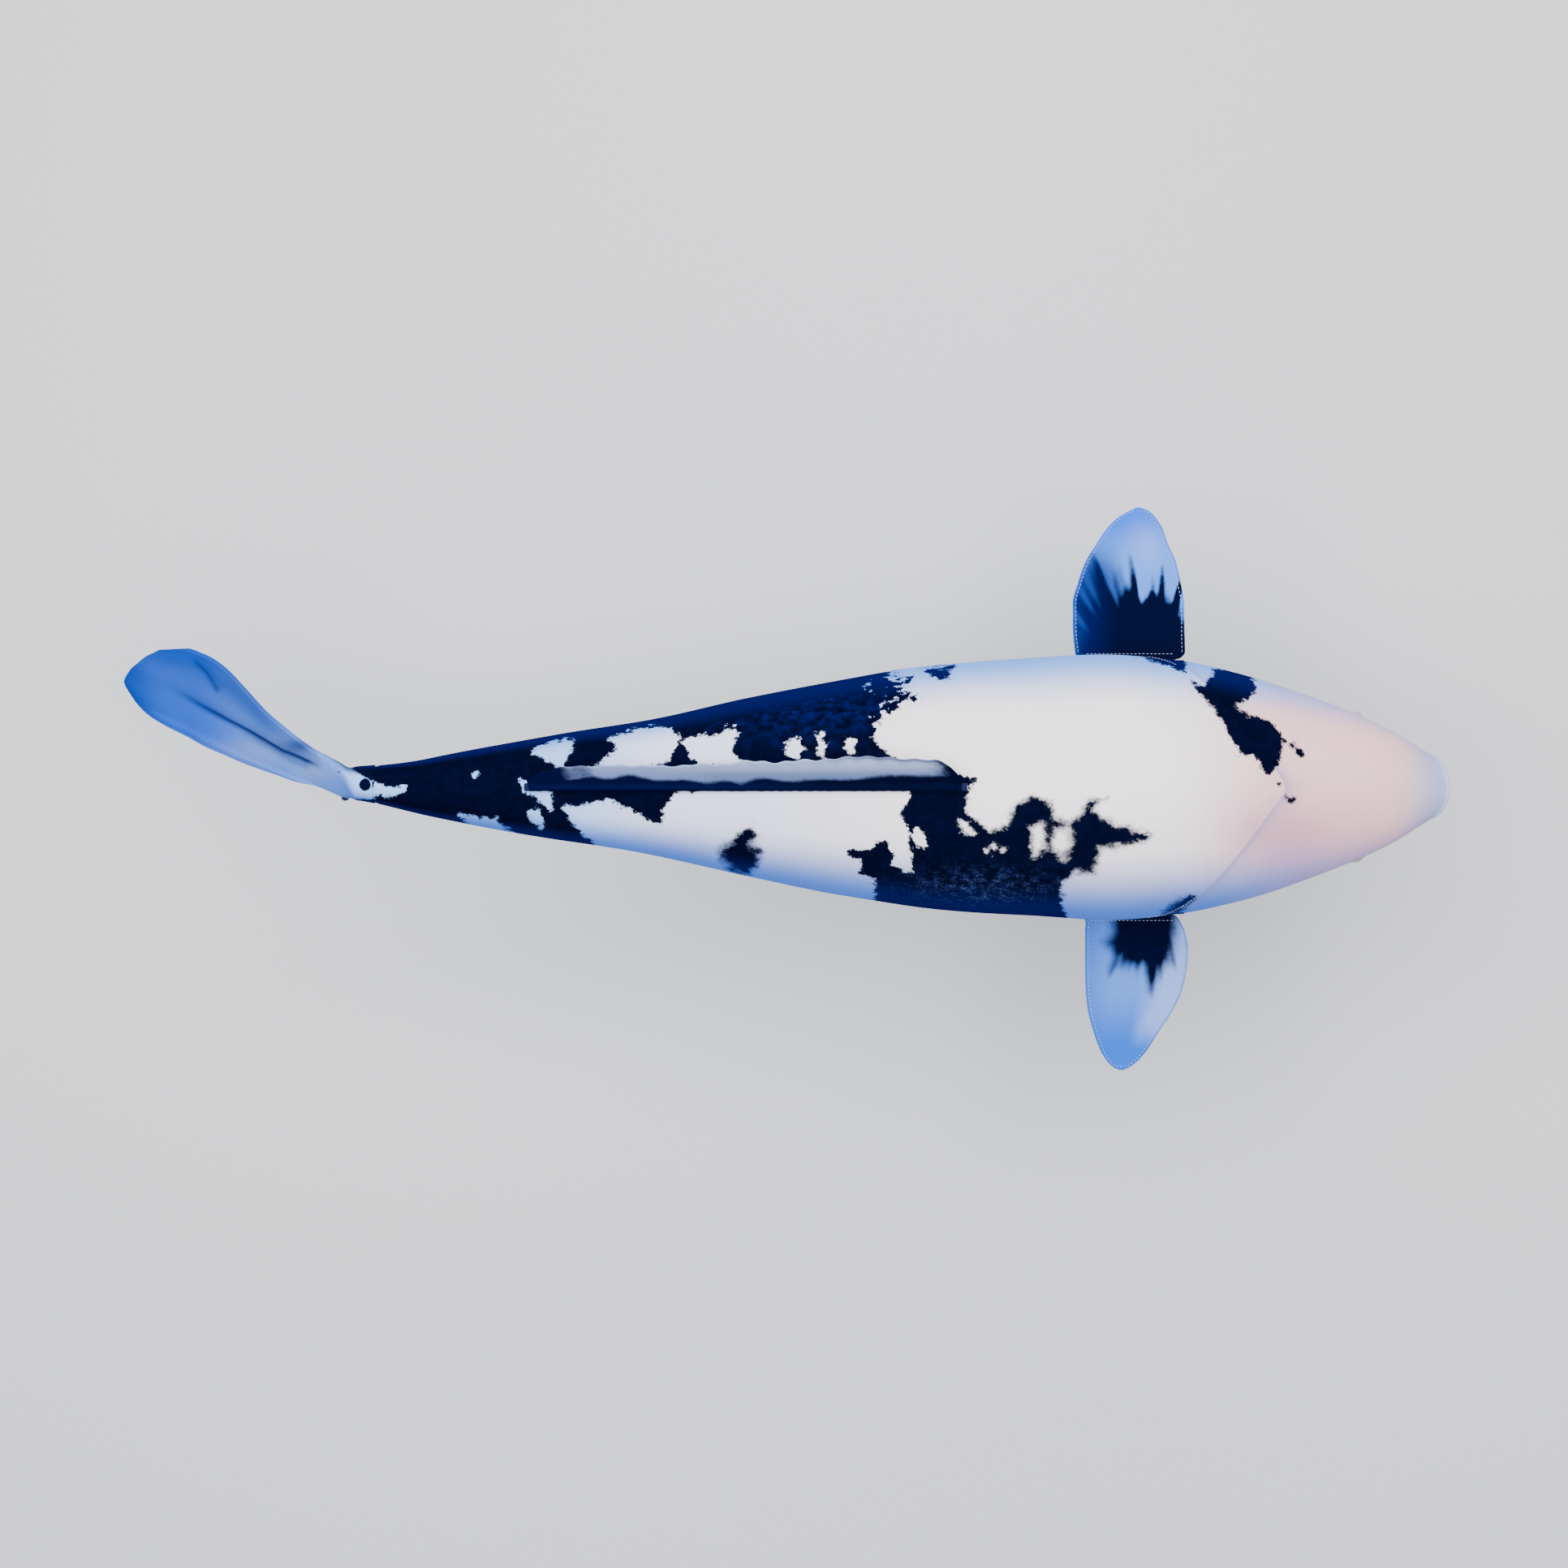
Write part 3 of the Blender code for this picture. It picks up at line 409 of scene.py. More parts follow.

# %% [markdown]
# ## The cloth's colours and its painted shade
# The undyed parts aren't one white. The nose is greyer, the cheeks are pink, and a blue tint comes in
# towards the tail. A painted blue shade comes in along both flanks, where the sides turn from the light, and a
# painted shadow lies on the head beside the gill seam. These tones are stored as a colour on each point, as
# they change over centimetres.

# %% Cloth tones


def paint(red, green, blue):
    """A colour given as screen values from 0 to 255, as the linear values that a material uses."""
    share = np.array([red, green, blue], float) / 255
    return np.where(share <= 0.04045, share / 12.92, ((share + 0.055) / 1.055) ** 2.4)


def mixed(first, second, share):
    share = np.asarray(share)[..., None]
    return first * (1 - share) + second * share


WHITE, REAR_WHITE = paint(238, 232, 236), paint(150, 188, 252)
HEAD_PINK, BLUSH, NOSE = paint(233, 187, 184), paint(203, 150, 168), paint(164, 173, 216)
# GILL_SHADE is painted shadow: the darker band that the lapped shoulder edge casts on the head.
GILL_SHADE = paint(118, 126, 172)
# LEFT_BLUE and RIGHT_BLUE are the flanks' painted blue shade, paler on the left; the small fins also use
# RIGHT_BLUE as their own colour.
LEFT_BLUE, RIGHT_BLUE = paint(103, 160, 246), paint(76, 122, 216)


def body_cloth(s, q, angle, below):
    """The cloth's colour before printing, painted shade included. s and q are in millimetres; angle is round
    the section.
    """
    colour = mixed(WHITE, HEAD_PINK, 1 - eased((s - 95) / 110))
    cheek = 0.8 * spread(s, q, (111, -35), (38, 24)) + 0.3 * spread(s, q, (70, -30), (60, 30))
    colour = mixed(colour, BLUSH, cheek)
    colour = mixed(colour, NOSE, 1 - eased((s + 14) / 42))
    colour = mixed(colour, REAR_WHITE, 0.35 * eased((s - 380) / 170) + 0.65 * eased((s - 560) / 120))
    # Painted shade: a blue that deepens towards the flanks as they turn from the overhead light, paler on the
    # left flank and weaker under the belly.
    side = np.abs(np.cos(angle)) + np.minimum(below / 60, 1)
    left, right = 0.95 * eased((side - 0.60) / 0.38), eased((side - 0.44) / 0.52)
    lean = eased(0.5 + 1.5 * np.cos(angle))
    share = (right + (left - right) * lean) * (0.40 + 0.60 * eased((s - 30) / 150))
    share = share * (1 - 0.6 * eased(below / 110))
    return mixed(colour, mixed(RIGHT_BLUE, LEFT_BLUE, lean), share)


def print_values(cloth, ink, soft, edge, cloud=0.0, veins=0.0):
    """What the printed material needs at each point: the cloth's colour and what the ink is like."""
    numbers = {"ink": ink, "soft": soft, "edge": edge, "cloud": cloud, "veins": veins}
    full = {key: np.broadcast_to(value, cloth.shape[:-1]) for key, value in numbers.items()}
    return {"cloth": cloth, **full}


print("the nose is", np.round(NOSE, 2), "and the left flank", np.round(LEFT_BLUE, 2))

# %% [markdown]
# The outlines are drawn as the camera sees them, and a point that is higher looks further out from the middle
# of the view. So each point of the upper half is moved to where the camera sees it before its ink is looked
# up. The lower half isn't seen: there the print carries on down from the widest line.

# %% The print on the body
AIM = (-0.4842, 0.0024, 0.015)
VIEW_WIDTH, LENS, SENSOR = 1.1816, 120, 36
CAMERA_RISE = VIEW_WIDTH * LENS / SENSOR
GILL_SHADE_LENGTH, GILL_SHADE_END = 5.0, 0.23


def seen_from_above(points):
    """Where the camera sees points, as millimetres behind the mouth and to the left."""
    nearer = CAMERA_RISE / (CAMERA_RISE - (points[..., 2] - AIM[2]))
    away = (points[..., :2] - AIM[:2]) * nearer[..., None] + AIM[:2]
    return -away[..., 0] * MM, away[..., 1] * MM


def on_flank(angle):
    return eased((np.abs(np.cos(angle)) - 0.72) / 0.26)


def body_values(points, s, angle):
    """The print at each point of the body, with the painted shade of the flanks and of the gill seam."""
    lower = np.sin(angle) < 0
    across = half_width(s)
    below = np.arcsin(np.clip(-np.sin(angle), 0, 1)) * (across + half_height(s)) / 2 * MM
    plan_s, plan_q = seen_from_above(points)
    side = np.where(np.cos(angle) >= 0, 1.0, -1.0)
    q = np.where(lower, side * (across * MM + below), plan_q)
    soft = np.full(s.shape, 0.8)
    for centre, radii, amount in SOFT_SPOTS:
        soft = np.maximum(soft, amount * spread(plan_s, q, centre, radii))
    cloud = 1.1 * spread(plan_s, q, (412, 74), (30, 16)) + 0.55 * spread(plan_s, q, (480, 58), (75, 24))
    cloud = cloud + 0.45 * spread(plan_s, q, (340, -78), (60, 14))
    veins = 1.2 * spread(plan_s, q, (335, -76), (55, 13))
    # Painted shadow on the head side of the gill seam, where the shoulder panel laps over it.
    gap = (s - gill_line(angle)) * MM
    shade = 0.7 * np.exp(np.minimum(gap, 0) / GILL_SHADE_LENGTH)
    shade = np.where((gap < 0.4) & (s < GILL_SHADE_END), shade, 0.0)
    cloth = mixed(body_cloth(plan_s, q, angle, below), GILL_SHADE, shade)
    # The edge value paints the ink's blue shade on the flanks and all round the lower half.
    return print_values(cloth, body_ink(plan_s, q, below), soft, np.where(lower, 1.0, on_flank(angle)),
                        np.clip(cloud, 0, 1), np.clip(veins, 0, 1))

print(f"the camera is {CAMERA_RISE:.3f} m above the streamer")

# %% [markdown]
# ## Shared print effects
# Several pieces need the same effects: ink whose edge wanders like a brushed dye, a fine weave, and a faint
# grime. They are node groups, so one change reaches every piece. They only give masks and heights; each
# material keeps its own shader.

# %% Node helpers


def feed(tree, socket, value):
    """Links a socket to another, or sets its value."""
    if isinstance(value, bpy.types.NodeSocket):
        tree.links.new(value, socket)
    else:
        socket.default_value = value


def node(tree, kind, inputs=None, **settings):
    """A node with its settings and inputs."""
    made = tree.nodes.new(kind)
    for key, value in settings.items():
        setattr(made, key, value)
    for key, value in (inputs or {}).items():
        feed(tree, made.inputs[key], value)
    return made


def math_node(tree, operation, *values, clamp=False):
    """A sum or a function of one to three values, each a socket or a number."""
    inputs = dict(enumerate(values))
    return node(tree, "ShaderNodeMath", inputs, operation=operation, use_clamp=clamp).outputs[0]


def times(tree, first, second):
    return math_node(tree, "MULTIPLY", first, second)


def plus(tree, first, second, clamp=False):
    return math_node(tree, "ADD", first, second, clamp=clamp)


def minus(tree, first, second):
    return math_node(tree, "SUBTRACT", first, second)


def noise(tree, vector, scale, detail=3.0, roughness=0.55):
    inputs = {"Vector": vector, "Scale": scale, "Detail": detail, "Roughness": roughness}
    return node(tree, "ShaderNodeTexNoise", inputs).outputs["Fac"]


def fitted(tree, value, low, high, to_low=0.0, to_high=1.0):
    inputs = {"Value": value, "From Min": low, "From Max": high, "To Min": to_low, "To Max": to_high}
    return node(tree, "ShaderNodeMapRange", inputs, interpolation_type="SMOOTHSTEP").outputs["Result"]


def blended(tree, share, first, second, how="MIX"):
    """Two colours mixed by a share; each of the three is a socket or a plain value."""
    first, second = (colour if isinstance(colour, bpy.types.NodeSocket) else (*colour, 1.0)
                     for colour in (first, second))
    inputs = {0: share, 6: first, 7: second}
    return node(tree, "ShaderNodeMix", inputs, data_type="RGBA", blend_type=how).outputs[2]


def add_sockets(tree, inputs, outputs):
    """Gives a node group its named inputs and outputs."""
    for key, kind, value in inputs:
        socket = tree.interface.new_socket(key, in_out="INPUT", socket_type="NodeSocket" + kind)
        if value is not None:
            socket.default_value = value
    for key, kind in outputs:
        tree.interface.new_socket(key, in_out="OUTPUT", socket_type="NodeSocket" + kind)
    return tree.nodes.new("NodeGroupInput").outputs, tree.nodes.new("NodeGroupOutput").inputs


def new_group(name, inputs, outputs):
    tree = bpy.data.node_groups.new(name, "ShaderNodeTree")
    return tree, *add_sockets(tree, inputs, outputs)


# %% [markdown]
# The ink group moves the limit of the ink in and out with two noises, and scatters specks where the ink is
# thin. The weave group makes the cloth's threads and its thicker rip-stop threads.

# %% Node groups


def ragged_ink_group():
    """Ink depth in millimetres to a mask whose edge wanders, with fine specks where it is clouded."""
    tree, given, out = new_group("Ragged ink", [
        ("Place", "Vector", None), ("Depth", "Float", 0.0), ("Softness", "Float", 0.5),
        ("Wander", "Float", 2.2), ("Cloud", "Float", 0.0)], [("Mask", "Float")])
    broad = minus(tree, noise(tree, given["Place"], 110.0, 6.0, 0.68), 0.5)
    fine = minus(tree, noise(tree, given["Place"], 520.0, 4.0, 0.75), 0.5)
    wander = times(tree, broad, 7.0)
    wander = plus(tree, wander, times(tree, fine, 3.0))
    depth = plus(tree, given["Depth"], times(tree, wander, given["Wander"]))
    clouds = fitted(tree, noise(tree, given["Place"], 150.0, 4.0, 0.65), 0.42, 0.62)
    depth = minus(tree, depth, times(tree, times(tree, clouds, given["Cloud"]), 14.0))
    low = times(tree, given["Softness"], -1.0)
    mask = fitted(tree, depth, low, given["Softness"])
    near = times(tree, fitted(tree, depth, -7.0, -1.0), 0.85)
    specks = fitted(tree, noise(tree, given["Place"], 900.0, 2.0, 0.5), 0.66, 0.70)
    mask = math_node(tree, "MAXIMUM", mask, times(tree, specks, near))
    tree.links.new(mask, out["Mask"])
    return tree


def weave_group():
    """A plain weave with a thicker thread every few millimetres, as a height and a slight tone."""
    tree, given, out = new_group("Ripstop weave", [("Cloth UV", "Vector", None)],
                                 [("Height", "Float"), ("Tone", "Float")])
    split = node(tree, "ShaderNodeSeparateXYZ", {0: given["Cloth UV"]}).outputs
    heights, ribs = [], []
    for axis in (0, 1):
        turns = times(tree, split[axis], 2 * math.pi / 0.00055)
        heights.append(math_node(tree, "SINE", turns))
        rib = math_node(tree, "PINGPONG", split[axis], 0.0026)
        ribs.append(fitted(tree, rib, 0.0, 0.0003, 1.0, 0.0))
    threads = times(tree, heights[0], heights[1])
    rib = math_node(tree, "MAXIMUM", ribs[0], ribs[1])
    height = plus(tree, times(tree, threads, 0.35), rib)
    tree.links.new(height, out["Height"])
    tone = minus(tree, 1.0, times(tree, rib, 0.02))
    tree.links.new(tone, out["Tone"])
    return tree


def handled_group():
    """Faint handling marks: a slow change of tone and of gloss over the cloth."""
    tree, given, out = new_group("Handled", [("Place", "Vector", None), ("Amount", "Float", 1.0)],
                                 [("Tone", "Float"), ("Roughness", "Float")])
    slow = minus(tree, noise(tree, given["Place"], 26.0, 4.0), 0.5)
    amount = times(tree, slow, given["Amount"])
    for key, swing, average in (("Tone", 0.07, 1.0), ("Roughness", 0.12, 0.62)):
        tree.links.new(math_node(tree, "MULTIPLY_ADD", amount, swing, average), out[key])
    return tree


RAGGED_INK, WEAVE, HANDLED = ragged_ink_group(), weave_group(), handled_group()
print("groups:", ", ".join(group.name for group in bpy.data.node_groups))

# %% [markdown]
# Each material is a principled shader. What is the same all over is set on the shader itself, and only the
# colour, the roughness and the relief are linked.

# %% Material helpers


def grouped(tree, group, **inputs):
    """A node that uses a group, with underscores in the input names read as spaces."""
    named = {key.replace("_", " "): value for key, value in inputs.items()}
    return node(tree, "ShaderNodeGroup", named, node_tree=group).outputs


def new_material(name, roughness=0.6, **uniform):
    """A material whose own shader has these uniform values."""
    made = bpy.data.materials.new(name)
    made.use_nodes = True
    shader = made.node_tree.nodes["Principled BSDF"]
    for key, value in dict(uniform, Roughness=roughness).items():
        shader.inputs[key.replace("_", " ")].default_value = value
    return made, made.node_tree, shader


def link_looks(tree, shader, colour, roughness=None, height=None, strength=0.1, distance=0.0002):
    """Links the colour to the shader, and the roughness and the relief where there is one."""
    tree.links.new(colour, shader.inputs["Base Color"])
    if roughness is not None:
        tree.links.new(roughness, shader.inputs["Roughness"])
    if height is not None:
        bump = node(tree, "ShaderNodeBump", {"Strength": strength, "Distance": distance, "Height": height})
        tree.links.new(bump.outputs[0], shader.inputs["Normal"])


def object_place(tree):
    return node(tree, "ShaderNodeTexCoord").outputs["Object"]


def attribute(tree, name, output="Fac"):
    return node(tree, "ShaderNodeAttribute", attribute_name=name).outputs[output]


# %% [markdown]
# ## Printed cloth
# The streamer's cloth is a light, matt nylon. The ink turns from near black on the back to a deep blue at the
# flanks: a painted blue shade where the sides turn from the light, as on the undyed cloth.

# %% The cloth material
# INK_BLUE is the ink's own blue where it is clouded, and also its painted blue shade on the flanks.
INK_BLACK, INK_BLUE, VEIN = paint(3, 6, 27), paint(3, 14, 78), paint(120, 138, 190)


def cloth_material(name, ink_black=INK_BLACK, ink_blue=INK_BLUE, wander=2.2):
    made, tree, shader = new_material(name, 0.6, Specular_IOR_Level=0.0)
    place = attribute(tree, "rest", "Vector")
    uv = node(tree, "ShaderNodeUVMap", uv_map="cloth_uv").outputs[0]
    cloud = attribute(tree, "cloud")
    mask = grouped(tree, RAGGED_INK, Place=place, Depth=attribute(tree, "ink"),
                   Softness=attribute(tree, "soft"),
                   Wander=wander, Cloud=cloud)["Mask"]
    patchy = fitted(tree, noise(tree, place, 150.0, 4.0, 0.6), 0.36, 0.74)
    some = plus(tree, times(tree, cloud, 1.6), 0.10, clamp=True)
    # On the body the edge value is painted shade: it turns the ink blue towards the flanks.
    blue_share = math_node(tree, "MAXIMUM", attribute(tree, "edge"), times(tree, patchy, some))
    ink = blended(tree, blue_share, ink_black, ink_blue)
    ridge = math_node(tree, "ABSOLUTE", minus(tree, noise(tree, place, 330.0, 5.0, 0.7), 0.5))
    vein = times(tree, fitted(tree, ridge, 0.0, 0.022, 1.0, 0.0), attribute(tree, "veins"))
    vein = times(tree, vein, patchy)
    ink = blended(tree, times(tree, vein, 0.6), ink, VEIN)
    colour = blended(tree, mask, attribute(tree, "cloth", "Color"), ink)
    weave = grouped(tree, WEAVE, Cloth_UV=uv)
    marks = grouped(tree, HANDLED, Place=place, Amount=1.0)
    tone = times(tree, weave["Tone"], marks["Tone"])
    grey = node(tree, "ShaderNodeCombineColor", {0: tone, 1: tone, 2: tone}).outputs[0]
    link_looks(tree, shader, blended(tree, 1.0, colour, grey, "MULTIPLY"), marks["Roughness"],
               weave["Height"])
    return made


PRINTED = cloth_material("printed nylon")
print(PRINTED.name, "has", len(PRINTED.node_tree.nodes), "nodes")

# %% [markdown]
# ## The body panels
# The body is sewn from three lengths: a head, shoulders behind the gill seam, and a long middle, then a rear
# sleeve and a stalk. Head, shoulders and middle are each cut as a left, a right and a belly panel. Where two
# panels meet, the cloth dips into a groove and gathers slightly, as it does when a taut panel is stitched to
# another.

# %% Panels
LEFT_SEAM, BACK, RIGHT_SEAM = math.radians(-25), math.radians(90), math.radians(205)
SPACING = 0.0018
LIP_EDGE = 0.0040
GILL_FLANK, GILL_NAPE = 0.207, 0.114
SHOULDER_END, REAR_START, STALK_START, STALK_END = 0.372, 0.655, 0.728, 0.800


def gill_line(angle):
    """How far behind the mouth the gill seam lies, round the section: it runs forward over the nape."""
    height = np.clip(np.minimum(np.degrees(angle), 180 - np.degrees(angle)) / 90, 0, 1)
    rise = (1 - np.sqrt((1 - height) ** 2 + 0.0036)) / 0.94
    start = eased(height / 0.12)
    return GILL_FLANK - (GILL_FLANK - GILL_NAPE) * np.maximum(rise, 0) * start


def steady(s):
    return lambda angle: np.full(np.shape(angle), s)


def seam_dip(distance, along, depth=0.45, gather=0.25):
    """The height of the cloth near a seam, in metres: a groove, and small gathers that die out."""
    d = np.maximum(distance, 0) * MM
    groove = -depth * np.exp(-(d / 1.3) ** 2)
    wave = np.sin(along * 740 + 1.6 * np.sin(along * 61)) * np.exp(-d / 5.5) * (1 - np.exp(-(d / 2) ** 2))
    return (groove + gather * wave) / MM


def body_panel(name, start, end, from_angle, to_angle, dips, relief=None):
    """A panel between two lines round the body and two angles; dips says how deep each side's seam is."""
    widest = half_width(np.mean(start(np.array([from_angle, to_angle]))) + 0.05)
    columns = max(8, int((to_angle - from_angle) * float(widest + 0.09) / 2 / SPACING))
    angle = np.linspace(from_angle, to_angle, columns)
    first, last = start(angle), end(angle)
    rows = int((last - first).max() / SPACING) + 1
    t = np.linspace(0, 1, rows)[:, None]
    s = first + t * (last - first)
    angle = np.broadcast_to(angle, s.shape)
    arc = (half_width(s) + half_height(s)) / 2
    around = angle * arc
    lift = (seam_dip((angle - from_angle) * arc, s, *dips["low"])
            + seam_dip((to_angle - angle) * arc, s, *dips["high"]))
    lift = lift + seam_dip(s - first, around, *dips["front"]) + seam_dip(last - s, around, *dips["back"])
    lift = lift + 0.00035 * np.sin(s * 38 + 2 * angle) * np.sin(3 * angle + s * 17)
    if relief:
        lift = lift + relief(s, angle)
    outer = skin(s, angle, lift)
    piece = make_piece(name, [cloth_shell(outer, outer - grid_normals(outer) * CLOTH,
                                          body_values(outer, s, angle))])
    cut = (float(girth_of(outer)), float(run(outer[:, columns // 2])[-1]), area_of(outer))
    return piece, cut


def girth_of(outer):
    return max(run(outer[0])[-1], run(outer[-1])[-1], run(outer[len(outer) // 2])[-1])


print(f"the gill seam is {gill_line(0.0):.3f} m back at the flank and {gill_line(BACK):.3f} m at the nape")

# %% [markdown]
# The three lengths are made with one function. A seam is either sewn, faint, or none at all where the cloth
# runs on.

# %% The panel sets
# How deep a seam is and how much the cloth gathers at it, in millimetres.
NONE, FAINT, SEWN = (0.0, 0.0), (0.08, 0.06), (0.45, 0.22)
BODY_PIECES = {}


def panel_set(names, start, end, front, back, back_seam, settle, replaced, relief=None):
    """The left, right and belly panels of one length of the body."""
    sides = [(LEFT_SEAM, BACK, SEWN, back_seam), (BACK, RIGHT_SEAM, back_seam, SEWN),
             (RIGHT_SEAM, LEFT_SEAM + 2 * math.pi, SEWN, SEWN)]
    for name, (low, high, low_dip, high_dip), nodes in zip(names, sides, replaced):
        right = low == BACK
        dips = {"low": low_dip, "high": high_dip, "front": FAINT if right and front == SEWN else front,
                "back": FAINT if right and back == SEWN else back}
        piece, cut = body_panel(name, start, end, low, high, dips, relief if low == LEFT_SEAM else None)
        slot = "white_fabric" if end(BACK) < REAR_START else "ink_fabric"
        dress(piece, PRINTED, settle, nodes)
        BODY_PIECES[name] = (piece, cut)


def raised_edge(s, angle):
    """The left shoulder panel laps over the head and stands a little proud of it."""
    degrees = np.degrees(angle)
    share = eased((degrees - 8) / 20) * (1 - eased((degrees - 76) / 14))
    return 0.0013 * share * np.exp(-(np.maximum(s - gill_line(angle), 0) / 0.012) ** 1.5)


panel_set(["head_left", "head_right", "throat"], steady(LIP_EDGE), gill_line, NONE, SEWN, NONE,
          ride_on("front"),
          [["head_left_panel"], ["head_right_panel"], ["throat_panel"]])
panel_set(["shoulder_left", "shoulder_right", "chest"], gill_line, steady(SHOULDER_END), SEWN, NONE, NONE,
          on_waist,
          [["shoulder_left_panel", "waist_gusset"], ["shoulder_right_panel"], ["chest_panel"]], raised_edge)
panel_set(["middle_left", "middle_right", "belly"], steady(SHOULDER_END), steady(REAR_START), NONE, NONE,
          FAINT,
          ride_on("middle"), [["middle_left_panel"], ["middle_right_panel"], ["belly_panel"]])
print("panels:", ", ".join(BODY_PIECES))

# %% [markdown]
# The rear sleeve and the stalk are tubes, each cut in one piece and closed along the belly.

# %% Tubes and cut sizes


def body_tube(name, first, last, settle, replaced):
    """A length of the body cut in one piece and closed along the belly."""
    columns = max(48, int(2 * math.pi * float(half_width(first) + half_height(first)) / 2 / SPACING))
    rows = int((last - first) / SPACING) + 1
    s = np.linspace(first, last, rows)[:, None] * np.ones((1, columns))
    angle = np.broadcast_to(np.linspace(0, 2 * math.pi, columns, endpoint=False) - BACK, s.shape)
    lift = 0.00025 * np.sin(s * 38 + 2 * angle) * np.sin(3 * angle + s * 17)
    lift = lift - 0.0007 * eased((s - STALK_END + 0.013) / 0.005)
    outer = skin(s, angle, lift)
    inner = outer - grid_normals(outer, around=True) * CLOTH
    piece = make_piece(name, [cloth_shell(outer, inner, body_values(outer, s, angle), around=True)])
    dress(piece, PRINTED, settle, replaced)
    BODY_PIECES[name] = (piece, (girth_of(np.concatenate([outer, outer[:, :1]], axis=1)), last - first,
                                 area_of(outer, around=True)))


body_tube("rear_body", REAR_START, STALK_START, on_rear, ["rear_sleeve", "rear_gusset"])
body_tube("tail_stalk", STALK_START, STALK_END, on_droop, ["stalk_sleeve", "droop_gusset"])
RESTS = {("head_left", "head_right", "throat"): ["mouth_ring"],
         ("shoulder_left", "shoulder_right", "chest"): ["gill_hoop", "waist_front_hoop"],
         ("middle_left", "middle_right", "belly"): ["waist_rear_hoop", "middle_hoop"],
         ("rear_body",): ["rear_hoop"], ("tail_stalk",): ["stalk_hoop", "tail_hoop"]}
for names, hoops_inside in RESTS.items():
    for name in names:
        piece, cut = BODY_PIECES[name]
        declare(piece, *cut, rests_on=hoops_inside)

# %% [markdown]
# ## Fins
# A fin is a flat sheet with a hem, pleated by the stiff threads that stand for a fish's fin rays. Its root is
# folded round a rod and stitched, so the fin swings on the rod. All fins are made by one function from the
# fin's outline: for each distance out from the hinge, how far the sheet reaches forwards and backwards.

# %% Fin outlines
# Each row, in millimetres: out from the hinge, the leading edge, the trailing edge.
LEFT_PECTORAL = [(2.2, 34, -34), (3.4, 34.8, -34.8), (4.6, 39, -40), (9, 42.5, -41.5), (30, 42.2, -43.2),
                 (46, 42, -43.2), (61.5, 39.6, -39.2), (77, 36.4, -33.7), (92, 30.2, -24.6),
                 (105.5, 25.4, -15.2), (113.5, 20.1, -6.4), (118, 15.1, 1.6), (120.3, 9.2, 6.6)]
RIGHT_PECTORAL = [(2.2, 33, -34), (3.4, 33.4, -34.6), (4.6, 36, -35), (9, 39, -33.6), (16, 42.4, -33.8),
                  (30.5, 44.9, -33.8), (47, 43.6, -33.7), (62.5, 40, -33), (78, 32.8, -31),
                  (92, 23.8, -27.2), (107.5, 14.1, -21.4), (115.5, 7.5, -16.5), (120.6, 1, -11.4),
                  (122.8, -4, -6.3)]
LEFT_FIN_INK = [(48, -8), (44, 31), (39, 61), (33, 50), (25, 76), (20, 56), (11, 53), (5, 81), (1, 61),
                (-6, 58), (-10, 69), (-16, 61), (-23, 76), (-29, 58), (-35, 42), (-41, 10), (-41, -8)]
RIGHT_FIN_INK = [(-17, -4), (37, -4), (36, 18), (33, 39), (26, 46), (16, 62), (10, 45), (-1, 42),
                 (-13, 47), (-11, 36), (-19, 24), (-13, 16)]
# The small fins' outline, as shares of their length and of their root.
SMALL_FIN = [(0, 0.48, -0.48), (0.25, 0.41, -0.58), (0.45, 0.30, -0.68), (0.65, 0.14, -0.77),
             (0.85, -0.10, -0.84), (0.95, -0.32, -0.79), (1.0, -0.56, -0.66)]
FIN_TIP, FIN_LIGHT, FIN_PALE = paint(26, 98, 208), paint(78, 130, 218), paint(136, 162, 228)
FIN_INK, FIN_EDGE, FIN_MID = paint(4, 8, 34), paint(9, 28, 88), paint(38, 78, 160)
SLEEVE_RADIUS, SLEEVE_BORE = 0.0030, 0.0018
print("fins reach out", LEFT_PECTORAL[-1][0], "and", RIGHT_PECTORAL[-1][0], "mm from their hinges")

# %% [markdown]
# Every fin is built in the frame of its own hinge: forwards along the hinge, out along the fin, and up from
# its face. Its sheet is two cloth faces apart by the hem at the edge and by the rod at the root.

# %% Fin shapes


def hinge_place(joint, out, side):
    """A frame on a hinge: x forwards along it, y out along the fin, z to the fin's upper face."""
    forward = Vector(JOINTS[joint]["axis"]).normalized()
    forward = forward if forward.x > 0 else -forward
    out = (out - forward * out.dot(forward)).normalized()
    up = forward.cross(out) * side
    place = Matrix((forward, out, up)).transposed().to_4x4()
    place.translation = Vector(JOINTS[joint]["pos_m"])
    return place


def placed(place, local):
    """Local points, in metres, in the row frame."""
    turn = np.array(place.to_3x3())
    return local @ turn.T + np.array(place.translation)


def edge_distance(f, w, table):
    """How far inside the sheet's outer edges each point is, in millimetres; the root isn't an edge."""
    outline = [(row[1], row[0]) for row in table] + [(row[2], row[0]) for row in reversed(table)]
    outline[0], outline[-1] = (outline[0][0], -60), (outline[-1][0], -60)
    return inside_by(outline, f * MM, w * MM)


def fin_half_thickness(w, inside, sleeved):
    """Half the sheet's thickness: the cloth, a folded hem at the edge, and the swell round the rod."""
    half = 0.00035 + 0.00028 * (1 - eased((inside - 2.6) / 0.8)) * eased((inside + 0.1) / 0.5)
    if sleeved:
        swell = np.sqrt(np.maximum(SLEEVE_RADIUS ** 2 - w ** 2, 0))
        half = np.maximum(half, swell * (1 - eased((w - 0.0045) / 0.004))
                          + 0.0011 * (1 - eased((w - 0.0025) / 0.0045)))
    return half


def fan_turn(f, w, length, centre):
    """The direction of a ray that fans out from behind the root, in radians; forwards is positive."""
    return np.arctan2(f - centre * length, w + 0.30 * length)


